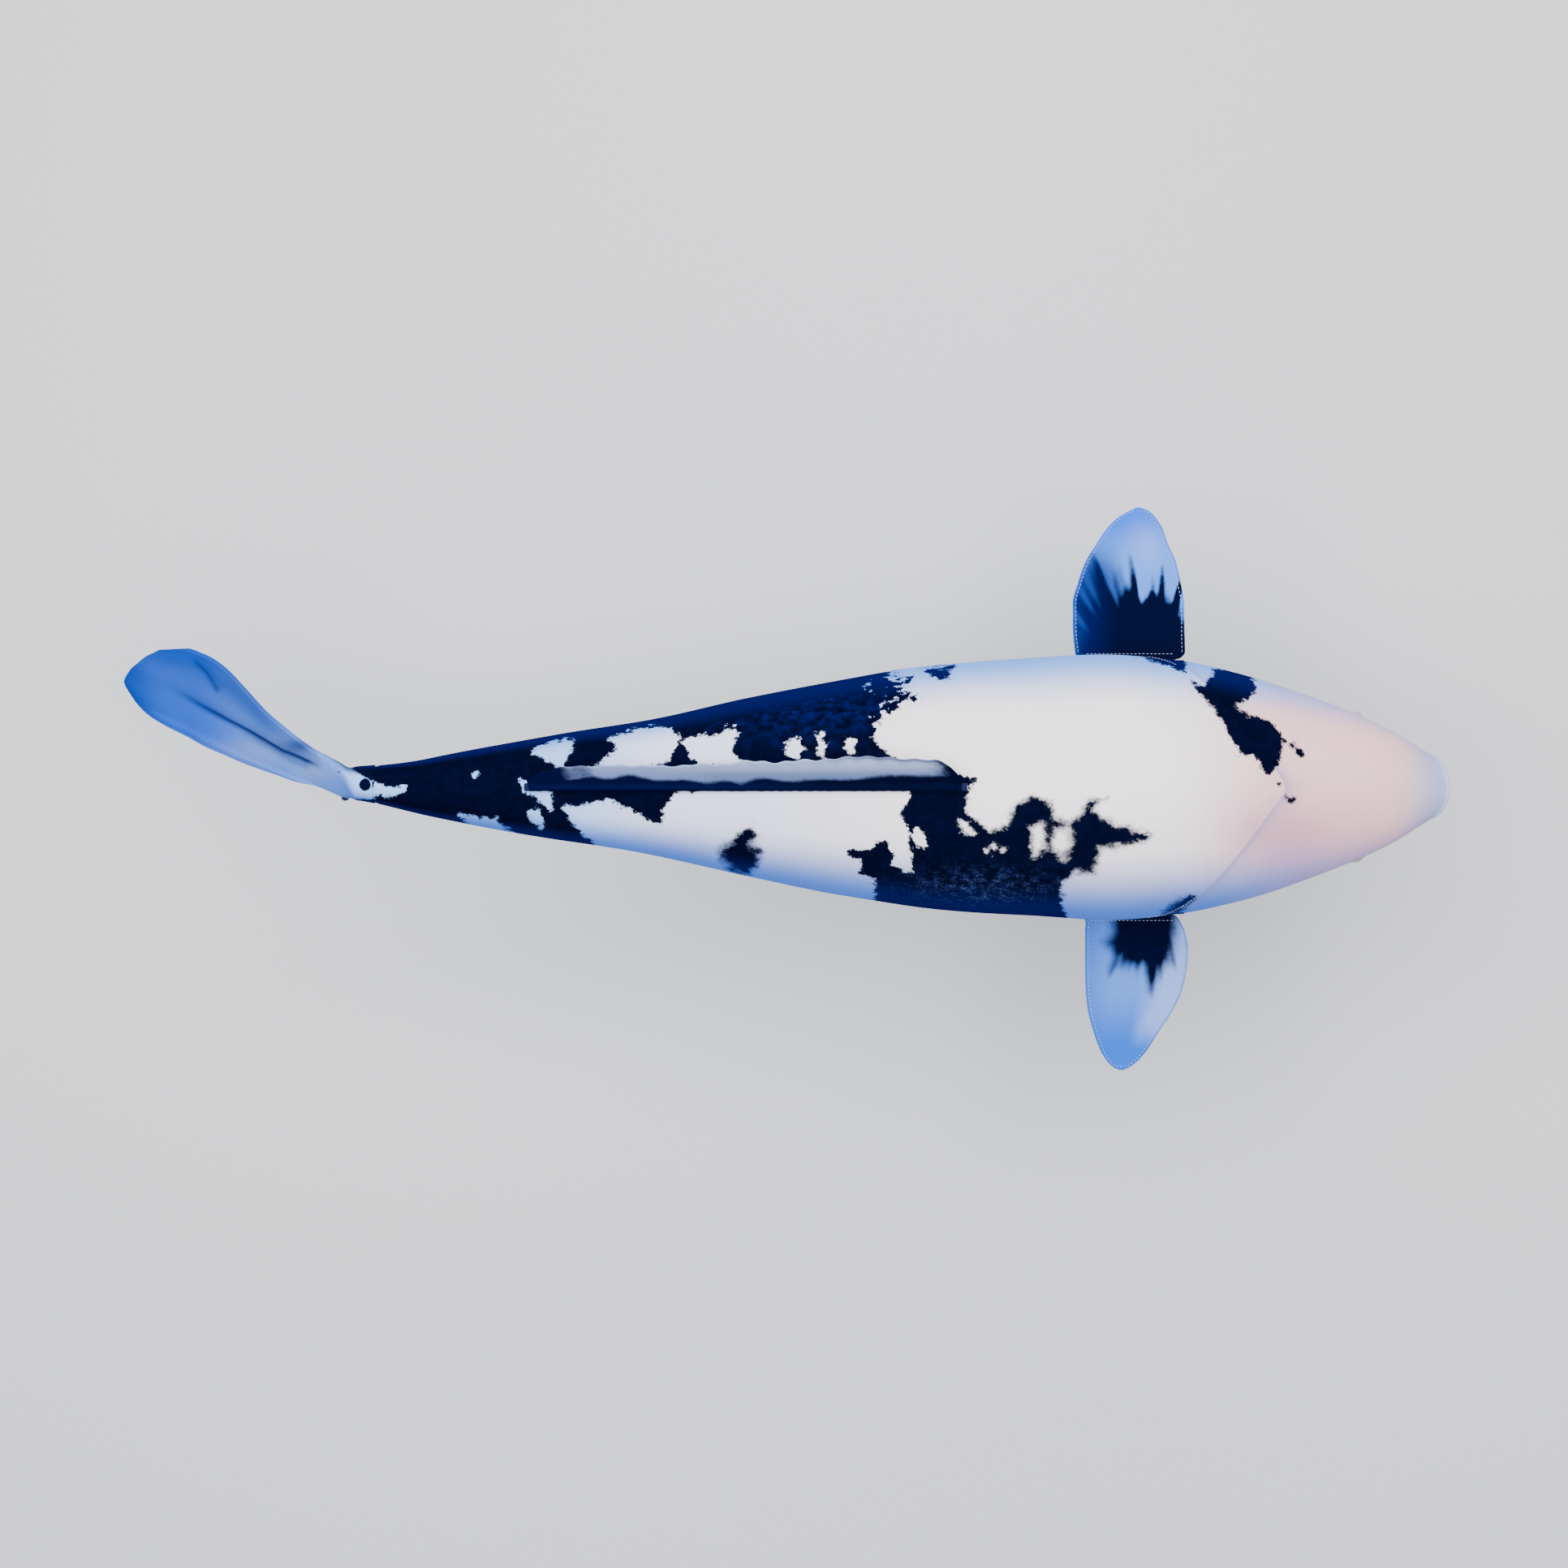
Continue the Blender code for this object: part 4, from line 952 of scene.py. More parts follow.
def fin_rays(f, w, table, count, depth):
    """Pleats that fan out from the root, as a height in metres, and a share across the fin."""
    lead, trail = curves_through(table, 1 / MM)
    span = table[-1][0] / MM
    chord = np.maximum(lead(w) - trail(w), 0.004)
    share = (f - trail(w)) / chord
    ray = fan_turn(f, w, span, 0.14)
    fan = np.sin(2 * math.pi * count * (ray + 0.05 * np.sin(7 * ray)))
    fade = eased((w - 0.010) / 0.02) * (1 - 0.5 * eased((w / span - 0.7) / 0.3))
    return depth * fan * fade * eased(np.minimum(share, 1 - share) / 0.12), share


def sleeve_shell(place, reach, radius, bore, values, sides=28, along=24):
    """A hollow tube round the hinge rod."""
    f = np.linspace(reach, -reach, along)[:, None] * np.ones((1, sides))
    turn = np.broadcast_to(np.linspace(0, 2 * math.pi, sides, endpoint=False), f.shape)
    crease = 0.00012 * np.sin(f * 900 + turn) + 0.00006 * np.sin(f * 2100)

    def ring(r):
        return placed(place, np.stack([f, r * np.cos(turn), r * np.sin(turn)], axis=-1))
    outer, inner = ring(radius + crease), ring(bore + 0 * crease)
    if place.to_3x3().determinant() < 0:
        outer, inner = outer[:, ::-1], inner[:, ::-1]
    flat = {key: np.broadcast_to(value, f.shape + np.shape(value)) for key, value in values.items()}
    return cloth_shell(outer, inner, flat, around=True)


LEFT_ROOT = LEFT_PECTORAL[0]
print("the left fin's root is", LEFT_ROOT[1] - LEFT_ROOT[2], "mm long")

# %% [markdown]
# A fin is made from those shapes: a sheet, and a hollow sleeve round the rod where the fin turns on one.

# %% Fin sheets


def fin_height(f, w, table, rays, depth, camber):
    """The fin's middle above its own plane, from its rays and its camber, and the share across it."""
    pleat, across = fin_rays(f, w, table, rays, depth)
    tip = table[-1][0] / MM
    return pleat + camber * np.sin(math.pi * np.clip(w / tip, 0, 1)) * eased((w - 0.006) / 0.03), across


def fin_sheet(name, place, table, colours, body, replaced, sleeve=None, rays=9, depth=0.0003, camber=0.002,
              spacing=0.0016):
    """A fin as one piece: its sheet, and its sleeve if it turns on a rod."""
    lead, trail = curves_through(table, 1 / MM)
    root, tip = table[0][0] / MM, table[-1][0] / MM
    rows = int((tip - root) / spacing * 1.25) + 2
    t = np.linspace(0, 1, rows)
    w = (root + (tip - root) * np.sin(t * math.pi / 2) ** 1.15)[:, None]
    columns = int(max(row[1] - row[2] for row in table) / MM / spacing) + 2
    share = np.linspace(0, 1, columns)[None, :]
    f = lead(w) + (trail(w) - lead(w)) * share
    w = np.broadcast_to(w, f.shape)
    inside = edge_distance(f, w, table)
    half = fin_half_thickness(w, inside, sleeve is not None)
    height, across = fin_height(f, w, table, rays, depth, camber)
    top = placed(place, np.stack([f, w, height + half], axis=-1))
    under = placed(place, np.stack([f, w, height - half], axis=-1))
    values = colours(f * MM, w * MM, across, inside)
    if np.cross(top[1, 0] - top[0, 0], top[0, 1] - top[0, 0]) @ (top[0, 0] - under[0, 0]) < 0:
        top, under = top[:, ::-1], under[:, ::-1]
        values = {key: value[:, ::-1] for key, value in values.items()}
    shells = [cloth_shell(top, under, values)]
    if sleeve:
        still = {key: value[0, columns // 2] for key, value in values.items()}
        shells.append(sleeve_shell(place, sleeve, SLEEVE_RADIUS, SLEEVE_BORE, still))
    piece = make_piece(name, shells)
    dress(piece, PRINTED_FIN, ride_on(body), replaced)
    wrap = 2 * math.pi * SLEEVE_RADIUS if sleeve else 0
    return piece, (float(f.max() - f.min()), tip + wrap, area_of(top) + wrap * 2 * (sleeve or 0))


# %% [markdown]
# The ink on a fin is drawn out along its rays, so the streaks fan out with them.

# %% Fin colours and the two pectoral fins


def streaks(f, w, span, strength):
    """Ink drawn out along the rays, in millimetres."""
    ray = fan_turn(f, w, span, 0.14)
    fine = np.sin(ray * 31 + 0.8) + 0.8 * np.sin(ray * 53 + 2.1) + 0.6 * np.sin(ray * 87 + 0.3)
    return strength * fine * eased((w - 0.10 * span) / (0.3 * span))


def left_pectoral_values(f, w, across, inside):
    colour = mixed(FIN_LIGHT, FIN_TIP, eased((w - 74) / 40))
    colour = mixed(colour, FIN_PALE, 0.45 * spread(f, w, (14, 92), (16, 18))
                   + 0.6 * spread(f, w, (34, 8), (7, 14)))
    ray = streaks(f, w, 118, 0.33)
    rear = eased((16 - f - 0.2 * w) / 26) * (1 - eased((w - 62) / 40))
    colour = mixed(colour, FIN_MID, rear)
    colour = mixed(colour, FIN_EDGE, rear * (0.68 + 0.3 * eased(0.5 + ray)))
    colour = mixed(colour, FIN_TIP, 0.6 * (1 - eased(inside / 3)))
    soft = 3.0 + 6.0 * eased((10 - f) / 26)
    depth = inside_by(LEFT_FIN_INK, f, w) - 1.0 + streaks(f, w, 118, 2.4 + 2.2 * eased((10 - f) / 26))
    return print_values(colour, depth, soft, 0.05 + 0.6 * eased((-6 - f) / 30))


def right_pectoral_values(f, w, across, inside):
    colour = mixed(paint(84, 130, 216), FIN_TIP, eased((w - 58) / 50))
    colour = mixed(colour, FIN_PALE, 0.85 * eased((across - 0.52) / 0.3) * (1 - eased((w - 84) / 26)))
    near_rear = eased((0.3 - across) / 0.3) * (1 - eased((w - 70) / 40))
    colour = mixed(colour, paint(40, 96, 198), 0.6 * near_rear)
    colour = mixed(colour, paint(30, 80, 176), 0.6 * (1 - eased(inside / 2.4)))
    depth = inside_by(RIGHT_FIN_INK, f, w) + streaks(f, w, 120, 1.6)
    return print_values(colour, depth, 6.5, eased((-4 - f) / 16) * 0.5)


PRINTED_FIN = cloth_material("printed fin nylon", FIN_INK, INK_BLUE, 0.7)
DIHEDRAL = math.radians(-8)
SLEEVE_REACH = 0.0352
PECTORALS = {}
for name, side, table, colours in (("left_pectoral", 1, LEFT_PECTORAL, left_pectoral_values),
                                   ("right_pectoral", -1, RIGHT_PECTORAL, right_pectoral_values)):
    out = Vector((0, side * math.cos(DIHEDRAL), math.sin(DIHEDRAL)))
    place = hinge_place(name + "_flap", out, side)
    stretched = [(row[0] / math.cos(DIHEDRAL), row[1], row[2]) for row in table]
    piece, cut = fin_sheet(name + "_fin", place, stretched, colours, name, [name + "_membrane"], SLEEVE_REACH)
    declare(piece, *cut, rests_on=[name + "_hinge_rod", name + "_spar"])
    PECTORALS[name] = (place, stretched)

# %% [markdown]
# ## The small fins underneath
# Two pelvic fins and one anal fin are sewn straight to the skin along their roots. The stitched root is the
# hinge.

# %% Pelvic and anal fins


def plain_fin_values(f, w, across, inside):
    colour = mixed(RIGHT_BLUE, FIN_PALE, 0.6 * eased((w - 8) / 20))
    colour = mixed(colour, FIN_TIP, 1 - eased(inside / 4))
    return print_values(colour, streaks(f, w, 40, 2.0) - 3 - 0.35 * w, 1.5, 0.8)


SMALL_FINS = {}
for name, chord, span in (("left_pelvic", 30, 44), ("right_pelvic", 30, 44), ("anal", 42, 32)):
    joint = name + ("_flap" if "pelvic" in name else "_sway")
    points = np.array([vertex.co for vertex in frame["nodes"][name + "_fin"].data.vertices])
    out = Vector(points.mean(axis=0)) - Vector(JOINTS[joint]["pos_m"])
    place = hinge_place(joint, out, 1)
    table = [(0.2 + w * span, lead * chord, trail * chord) for w, lead, trail in SMALL_FIN]
    piece, cut = fin_sheet(name + "_sheet", place, table, plain_fin_values, name, [name + "_fin"],
                           rays=3, depth=0.0002, camber=0.0008, spacing=0.0013)
    declare(piece, *cut, rests_on=["belly"])
    SMALL_FINS[name] = (place, table)

# %% [markdown]
# ## The back fin
# A low fin runs along the back on a long rod and leans to the left in the wind. Three battens keep it from
# folding. Its lower part is dark and its upper part is a pale band, with a wavy top edge.

# %% The back fin's shape
# The top edge: share of the way back, height in millimetres.
DORSAL_TOP = [(0.0, 12.0), (0.010, 20.0), (0.022, 27.5), (0.05, 34.5), (0.10, 36.5), (0.22, 36.4),
              (0.34, 34.2), (0.46, 31.0), (0.58, 28.6), (0.70, 27.4), (0.82, 26.5), (0.90, 25.0),
              (0.95, 20.0), (0.98, 13.0), (1.0, 6.0)]
DORSAL_LEAN = math.radians(35)
dorsal_place = hinge_place("dorsal_fold", Vector((0, math.sin(DORSAL_LEAN), math.cos(DORSAL_LEAN))), 1)
DORSAL_REACH = (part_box("dorsal_membrane")[1].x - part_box("dorsal_membrane")[0].x) / 2 - 0.0004
DORSAL_HEIGHT = smooth_through([row[0] for row in DORSAL_TOP], [row[1] / MM for row in DORSAL_TOP])


def dorsal_relief(share, rise):
    """The blade waves gently at its free edge and is flat at its root."""
    wave = 0.0011 * np.sin(share * 21 + 0.6) + 0.0007 * np.sin(share * 47 + 2)
    return wave * (rise / 0.036) ** 2 + 0.0006 * np.sin(share * 130) * eased((rise - 0.02) / 0.016)


def dorsal_blade(share, rise_share):
    """A point of the blade's middle and its distance out from the rod, from shares of length and height."""
    top = DORSAL_HEIGHT(share) + 0.0007 * np.sin(share * 58) + 0.0004 * np.sin(share * 133 + 1)
    low = 0.0022
    rise = low + (top - low) * rise_share
    f = DORSAL_REACH * (1 - 2 * share) - 0.006 * (rise / 0.036) * eased(share * 5)
    return f, rise, top


print("the back fin is", round(2 * DORSAL_REACH * MM), "mm long")

# %% [markdown]
# The lower part is dark up to a wavy line. The blade and the sleeve at its root are one piece.

# %% The back fin's print and mesh


def dorsal_values(share, rise, top):
    """The dorsal fin's print: dark below a wavy line, pale above it."""
    up = rise * MM
    lower_edge = 15.0 - 6.0 * eased((share - 0.12) / 0.3) + 5.0 * eased((share - 0.55) / 0.3)
    lower_edge = lower_edge + 1.3 * np.sin(share * 19) + 0.8 * np.sin(share * 43 + 1)
    depth = lower_edge - up
    depth = np.maximum(depth, 6.0 - np.maximum(0.93 - share, 0) * 90)
    depth = np.maximum(depth, 5.0 - share * 110)
    depth = depth + 1.8 * np.sin(share * 61 + 0.5 * np.sin(share * 23)) * eased((share - 0.3) / 0.2)
    colour = mixed(paint(98, 116, 160), paint(150, 166, 204), eased((up - 14) / 16))
    colour = mixed(colour, paint(120, 140, 190), 0.5 * eased((share - 0.5) / 0.2))
    colour = mixed(colour, paint(40, 48, 84), 0.7 * eased((up - top * MM + 3.2) / 2.2)
                   * eased((0.36 - share) / 0.2))
    return print_values(colour, depth, 3.0, 0.25 * eased((share - 0.2) / 0.4))


share, rise_share = np.meshgrid(np.linspace(0, 1, 200), np.linspace(0, 1, 22) ** 0.85)
f, rise, top = dorsal_blade(share, rise_share)
inside = np.minimum((top - rise), np.minimum(DORSAL_REACH - f, f + DORSAL_REACH + 0.008)) * MM
half = fin_half_thickness(rise, inside, True)
height = dorsal_relief(share, rise)
upper = placed(dorsal_place, np.stack([f, rise, height + half], axis=-1))
under = placed(dorsal_place, np.stack([f, rise, height - half], axis=-1))
values = dorsal_values(share, rise, top)
upper, under = upper[:, ::-1], under[:, ::-1]
values = {key: value[:, ::-1] for key, value in values.items()}
still = print_values(INK_BLACK, 9.0, 1.0, 0.1)
dorsal = make_piece("dorsal_fin", [cloth_shell(upper, under, values),
                                   sleeve_shell(dorsal_place, DORSAL_REACH, SLEEVE_RADIUS, SLEEVE_BORE,
                                                still, sides=24, along=90)])
dress(dorsal, PRINTED_FIN, ride_on("dorsal"), ["dorsal_membrane"])
BLADE_CUT = 0.036
declare(dorsal, BLADE_CUT + 2 * math.pi * SLEEVE_RADIUS, 2 * DORSAL_REACH,
        area_of(upper) + 4 * math.pi * SLEEVE_RADIUS * DORSAL_REACH,
        rests_on=["dorsal_hinge_rod", "dorsal_front_batten", "dorsal_middle_batten", "dorsal_rear_batten"])


# %% [markdown]
# The stiff pieces are closed shells of rings. Whether the faces of a closed shell look outwards shows in the
# sign of its volume, so each shell is turned round where that's negative.

# %% Closed shells


def facing_out(points, faces):
    """The faces of a closed shell, turned round if they look inwards."""
    volume = sum(np.dot(points[q[0]], np.cross(points[q[k]], points[q[k + 1]]))
                 for q in faces for k in range(1, len(q) - 1))
    return [tuple(q)[::-1] if volume < 0 else tuple(q) for q in faces]


def rod_shell(points, radius, sides=10):
    """A closed round rod along a line of points, with rounded ends."""
    line = np.array(points, float)
    along = np.gradient(line, axis=0)
    along /= np.linalg.norm(along, axis=-1, keepdims=True)
    side = np.cross(along, np.where(np.abs(along[:, 2:3]) < 0.9, [[0, 0, 1.0]], [[1.0, 0, 0]]))
    side /= np.linalg.norm(side, axis=-1, keepdims=True)
    up = np.cross(side, along)
    caps = [(0.001, -1), (0.6, -0.8), (1.0, 0)]
    last = len(line) - 1
    stations = [(line[0] + along[0] * radius * back, 0, grow) for grow, back in caps]
    stations += [(line[k], k, 1.0) for k in range(1, last)]
    stations += [(line[last] - along[last] * radius * back, last, grow) for grow, back in reversed(caps)]
    turn = np.linspace(0, 2 * math.pi, sides, endpoint=False)[:, None]
    flat = np.concatenate([spot + radius * grow * (np.cos(turn) * side[k] + np.sin(turn) * up[k])
                           for spot, k, grow in stations])
    ends = [tuple(range(sides)), tuple(range(len(flat) - sides, len(flat)))[::-1]]
    return flat, facing_out(flat, [*grid_faces(len(stations), sides, around=True), *ends]), {}


# %% [markdown]
# The battens are thin glass-fibre rods. They lie against the right face of the fin, from just above its
# sleeve to near its top edge.

# %% Dorsal battens
BATTEN_RADIUS, HALF_BLADE = 0.0010, 0.00035
battens = []
for share_at in (0.16, 0.50, 0.84):
    f, rise, _ = dorsal_blade(np.full(9, share_at), np.linspace(0.20, 0.90, 9))
    lift = dorsal_relief(share_at, rise) - HALF_BLADE - BATTEN_RADIUS
    battens.append(rod_shell(placed(dorsal_place, np.stack([f, rise, lift], axis=-1)), BATTEN_RADIUS))
dorsal_battens = make_piece("dorsal_battens", battens)
print(len(battens), "battens on the back fin")

# %% [markdown]
# ## The tail
# The tail fin is two layers sewn along their edges, so the wind makes it a thin leaf. At its root it widens
# into a cuff that slips over the stalk and hides the hinge pin. From above it sweeps back to the left, with
# soft creases that start where the leaf is narrowest. The section changes smoothly from the stalk's oval,
# through a long oval that lies along the pin, to a lens. Two thin spars run inside the edges, and the cloth
# swells over them.

# %% The tail's edges
pin_centre = np.array(JOINTS["tail_sway"]["pos_m"])
pin_up = np.array(JOINTS["tail_sway"]["axis"]) / np.linalg.norm(JOINTS["tail_sway"]["axis"])
pin_up = pin_up * np.sign(pin_up[2])
pin_left = np.array([0, pin_up[2], -pin_up[1]])
# Share of the way along, then how far behind the mouth, to the left and up, in millimetres.
UPPER_EDGE = [(0, 818.5, 16.5, 46), (0.06, 826, 22.3, 47), (0.14, 838, 30, 50.5), (0.26, 852, 41, 57),
              (0.38, 867, 54.4, 66), (0.52, 882, 72, 75), (0.66, 896, 87.5, 83.5), (0.78, 911, 98, 90),
              (0.89, 926, 102.4, 93), (1, 941, 102, 94)]
LOWER_EDGE = [(0, 818.5, -6, 4), (0.05, 826, -2.6, 5), (0.12, 838, 1.2, 1.7), (0.2, 852, 3.7, -3),
              (0.3, 867, 8.6, -11.5), (0.38, 882, 13.5, -18), (0.46, 896, 18.3, -24),
              (0.54, 911, 24.5, -29), (0.63, 926, 30.6, -34), (0.72, 940, 38, -38),
              (0.82, 955, 45.3, -38.5), (0.91, 970, 54.4, -37), (0.96, 978, 61.5, -36), (1, 984, 70, -33)]
TRAILING_EDGE = [(0, 984, 70, -33), (0.12, 985, 78.5, -18), (0.28, 979, 87, 2), (0.45, 970, 92.5, 24),
                 (0.72, 955, 99, 60), (1, 941, 102, 94)]
# Each crease as places behind the mouth and to the left, in millimetres, and how strong it is.
TAIL_CREASES = [([(826, 18), (842, 20), (862, 27), (885, 40), (905, 50), (925, 61), (956, 80)], 1.0),
                ([(908, 70), (916, 86), (926, 99)], 0.6),
                ([(838, 14), (856, 20), (880, 33), (900, 44)], 0.35)]


def edge_line(table):
    columns = curves_through(table)
    return lambda u: np.stack([-columns[0](u), columns[1](u), columns[2](u)], axis=-1) / MM


upper_edge, lower_edge, trailing_edge = map(edge_line, (UPPER_EDGE, LOWER_EDGE, TRAILING_EDGE))


print("the tail is", max(row[1] for row in LOWER_EDGE) - LOWER_EDGE[0][1], "mm long")

# %% [markdown]
# The leaf's middle surface is a patch that is stretched between those three edges and the pin. Its creases
# are lines on the plan: near each, the cloth is pushed in, and stands a little proud beside it.

# %% The tail's middle surface


def leaf_middle(u, v):
    """The leaf's middle: u from the pin to the trailing edge, v from the lower edge, -1, to the upper, 1."""
    t = (v + 1) / 2
    low, high, last = lower_edge(u), upper_edge(u), trailing_edge(t)
    (first_low, first_high), (last_low, last_high) = ((lower_edge(end), upper_edge(end))
                                                      for end in (0.0, 1.0))
    u, t = u[..., None], t[..., None]
    first = first_low * (1 - t) + first_high * t
    patch = low * (1 - t) + high * t + first * (1 - u) + last * u
    patch = (patch - (first_low * (1 - u) + last_low * u) * (1 - t)
             - (first_high * (1 - u) + last_high * u) * t)
    fill = 0.010 * (1 - v * v) * eased(u[..., 0] * 1.8) * (1 - 0.9 * eased((u[..., 0] - 0.62) / 0.38))
    return patch + fill[..., None] * np.array([-0.4, 1.0, 0.0])


def leaf_face(u, v):
    """The leaf's direction to the left, at each point."""
    step = 1e-3
    along = leaf_middle(u + step, v) - leaf_middle(u - step, v)
    across = leaf_middle(u, np.minimum(v + step, 1)) - leaf_middle(u, np.maximum(v - step, -1))
    face = np.cross(along, across)
    face /= np.maximum(np.linalg.norm(face, axis=-1, keepdims=True), 1e-12)
    face = face * np.sign(face[..., 1:2] + 1e-9)
    face = face + 0.05 * np.array([0.46, 0.81, -0.36])
    return face / np.linalg.norm(face, axis=-1, keepdims=True)


def crease_near(points, line):
    """Distance in millimetres from a crease drawn from above, and how far along it, from 0 to 1."""
    s, q = -points[..., 0] * MM, points[..., 1] * MM
    corners = np.array(line, float)
    lengths = np.linalg.norm(np.diff(corners, axis=0), axis=1)
    starts = np.concatenate([[0], np.cumsum(lengths)]) / lengths.sum()
    best, along, above = np.full(s.shape, 1e9), np.zeros(s.shape), np.zeros(s.shape)
    for k in range(len(corners) - 1):
        dx, dy = corners[k + 1] - corners[k]
        t = np.clip(((s - corners[k][0]) * dx + (q - corners[k][1]) * dy) / (dx * dx + dy * dy), 0, 1)
        away = np.hypot(s - corners[k][0] - t * dx, q - corners[k][1] - t * dy)
        nearer = away < best
        best = np.where(nearer, away, best)
        along = np.where(nearer, starts[k] + t * (starts[k + 1] - starts[k]), along)
        above = np.where(nearer, np.sign((q - corners[k][1]) * dx - (s - corners[k][0]) * dy), above)
    return best * above, along


def crease_fold(points):
    """The creases as a push of the surface, in metres, and as painted shade that darkens them."""
    push, tone = np.zeros(points.shape[:2]), np.zeros(points.shape[:2])
    for line, strength in TAIL_CREASES:
        away, along = crease_near(points, line)
        fade = eased(along / 0.12) * eased((1 - along) / 0.35) * strength
        push -= 0.0016 * fade * np.exp(-(away / 2.6) ** 2)
        push += 0.0009 * fade * np.exp(-((away - 6) / 5) ** 2)
        tone += fade * (0.8 * np.exp(-((away - 0.5) / 2.2) ** 2) + 0.30 * np.exp(-((away - 4) / 5.5) ** 2))
    return push, np.clip(tone, 0, 1)


def leaf_wave(u, v, middle):
    """How far the creases and the cloth's waves move the leaf, in metres to the left, and the creases' painted
    shade.
    """
    push, tone = crease_fold(middle)
    slow = (0.0003 * np.sin(11 * v + 6 * u) * eased((u - 0.35) / 0.3)
            + 0.0006 * np.sin(5 * u + 2.2 * v) * eased(u / 0.5))
    return slow - push, tone


# %% [markdown]
# The tail is built as rings of points. The first ones are the cuff: each is a mix of the stalk's oval and a
# long oval round the pin.

# %% The tail's cuff
TAIL_ROUND = 120
PIN_HALF_LENGTH, PIN_HALF_THICKNESS = 0.0250, 0.0064


def powered(values, power):
    """Raises values to a power and keeps their signs, which makes a round section squarer or sharper."""
    return np.sign(values) * np.abs(values) ** power


around = np.linspace(0, 2 * math.pi, TAIL_ROUND, endpoint=False) - BACK
lift, side = np.sin(around), np.cos(around)
CUFF_START, PIN_AT = STALK_END - 0.008, -pin_centre[0]
sections = []
for s in np.linspace(CUFF_START, PIN_AT + 0.0025, 26):
    thick = PIN_HALF_THICKNESS + 0.0030 * (1 - eased((s - 0.8085) / 0.007))
    round_the_pin = powered(lift, 0.8)[:, None] * pin_up * PIN_HALF_LENGTH
    round_the_pin = round_the_pin + powered(side, 0.8)[:, None] * pin_left * thick
    centre = np.array([-s, TAIL_SHIFT + 0.5 * max(0, s - 0.812), pin_centre[2]])
    at = min(s, BODY_LENGTH)
    over_stalk = skin(at, around, 0.00035) + np.array([at - s, 0, 0])
    share = eased((s - 0.8078) / 0.0060)
    sections.append(over_stalk * (1 - share) + (centre + round_the_pin) * share)
print(len(sections), "rings in the cuff")

# %% [markdown]
# From there the leaf follows its edges. Its rings are closer together near the cuff and near the rounded
# trailing edge. Where the cuff runs into the leaf, the rings are averaged with their neighbours, so no step
# shows.

# %% The tail's leaf
ring_places = np.concatenate([np.linspace(0.03, 0.2, 16), np.linspace(0.215, 0.93, 66),
                              1 - 0.07 * np.linspace(0.9, 0, 12) ** 1.6])
u = ring_places[:, None] * np.ones(TAIL_ROUND)
corner = 1 - np.sqrt(1 - np.clip((u - 0.88) / 0.121, 0, 1) ** 2)
v = lift * (1 - 0.16 * corner)
middle_leaf = leaf_middle(u, v)
plump = 0.0009 + 0.0055 * (1 - eased(u / 0.24)) ** 1.5
plump = plump * (1 - 0.72 * eased((u - 0.9) / 0.1))
spar = (0.0012 * np.exp(-((np.abs(v) - 0.90) / 0.04) ** 2) * eased((u - 0.08) / 0.08)
        * (1 - eased((u - 0.86) / 0.05)))
bulge = plump * powered(side, 0.85) + spar * np.sign(side) * eased(np.abs(side) / 0.3)
wave, crease_shade = leaf_wave(u, v, middle_leaf)
leaf = middle_leaf + leaf_face(u, v) * (bulge + wave)[..., None]
outer = np.concatenate([np.array(sections), leaf])
first_row, last_row = len(sections) - 12, len(sections) + 9
SMOOTHING_PASSES = 16
for _ in range(SMOOTHING_PASSES):
    near = outer[first_row - 1:last_row - 1] + outer[first_row + 1:last_row + 1]
    outer[first_row:last_row] = outer[first_row:last_row] / 2 + near / 4
rows = len(outer)
s_at = -outer[..., 0] * MM
q_at = outer[..., 1] * MM
print(f"tail: {rows} rings, from {s_at.min():.0f} to {s_at.max():.0f} mm behind the mouth")

# %% [markdown]
# The tail's dye runs from a pale blue near the stalk, through a greyer middle, to a strong blue at the
# trailing edge, and painted shade darkens the creases.

# %% Tail colours
TAIL_TIP, TAIL_TOP, TAIL_MID = paint(8, 62, 164), paint(10, 80, 200), paint(50, 96, 192)
TAIL_LIGHT, TAIL_STREAK = paint(92, 138, 226), paint(36, 98, 212)
# How much painted crease shade a point has: none in the cuff, and as the leaf has it behind that.
painted_crease_shade = np.concatenate([np.zeros((len(sections), TAIL_ROUND)), crease_shade])
share_v = np.broadcast_to(lift, s_at.shape)
colour = mixed(TAIL_LIGHT, TAIL_MID, eased((share_v + 0.25) / 0.7) * eased((s_at - 840) / 40))
colour = mixed(colour, TAIL_STREAK, 0.8 * eased((s_at - 850) / 110) * eased((0.7 - share_v) / 1.4))
colour = mixed(colour, TAIL_TOP, eased((s_at - 880) / 52) * (0.6 + 0.4 * eased((share_v - 0.3) / 0.5)))
colour = mixed(colour, TAIL_TIP, 0.8 * eased((s_at - 950) / 34))
colour = mixed(colour, paint(150, 164, 214), 0.35 * spread(s_at, q_at, (874, 28), (46, 9)))
colour = mixed(colour, paint(176, 176, 200), 0.3 * spread(s_at, q_at, (836, 12), (14, 7)))
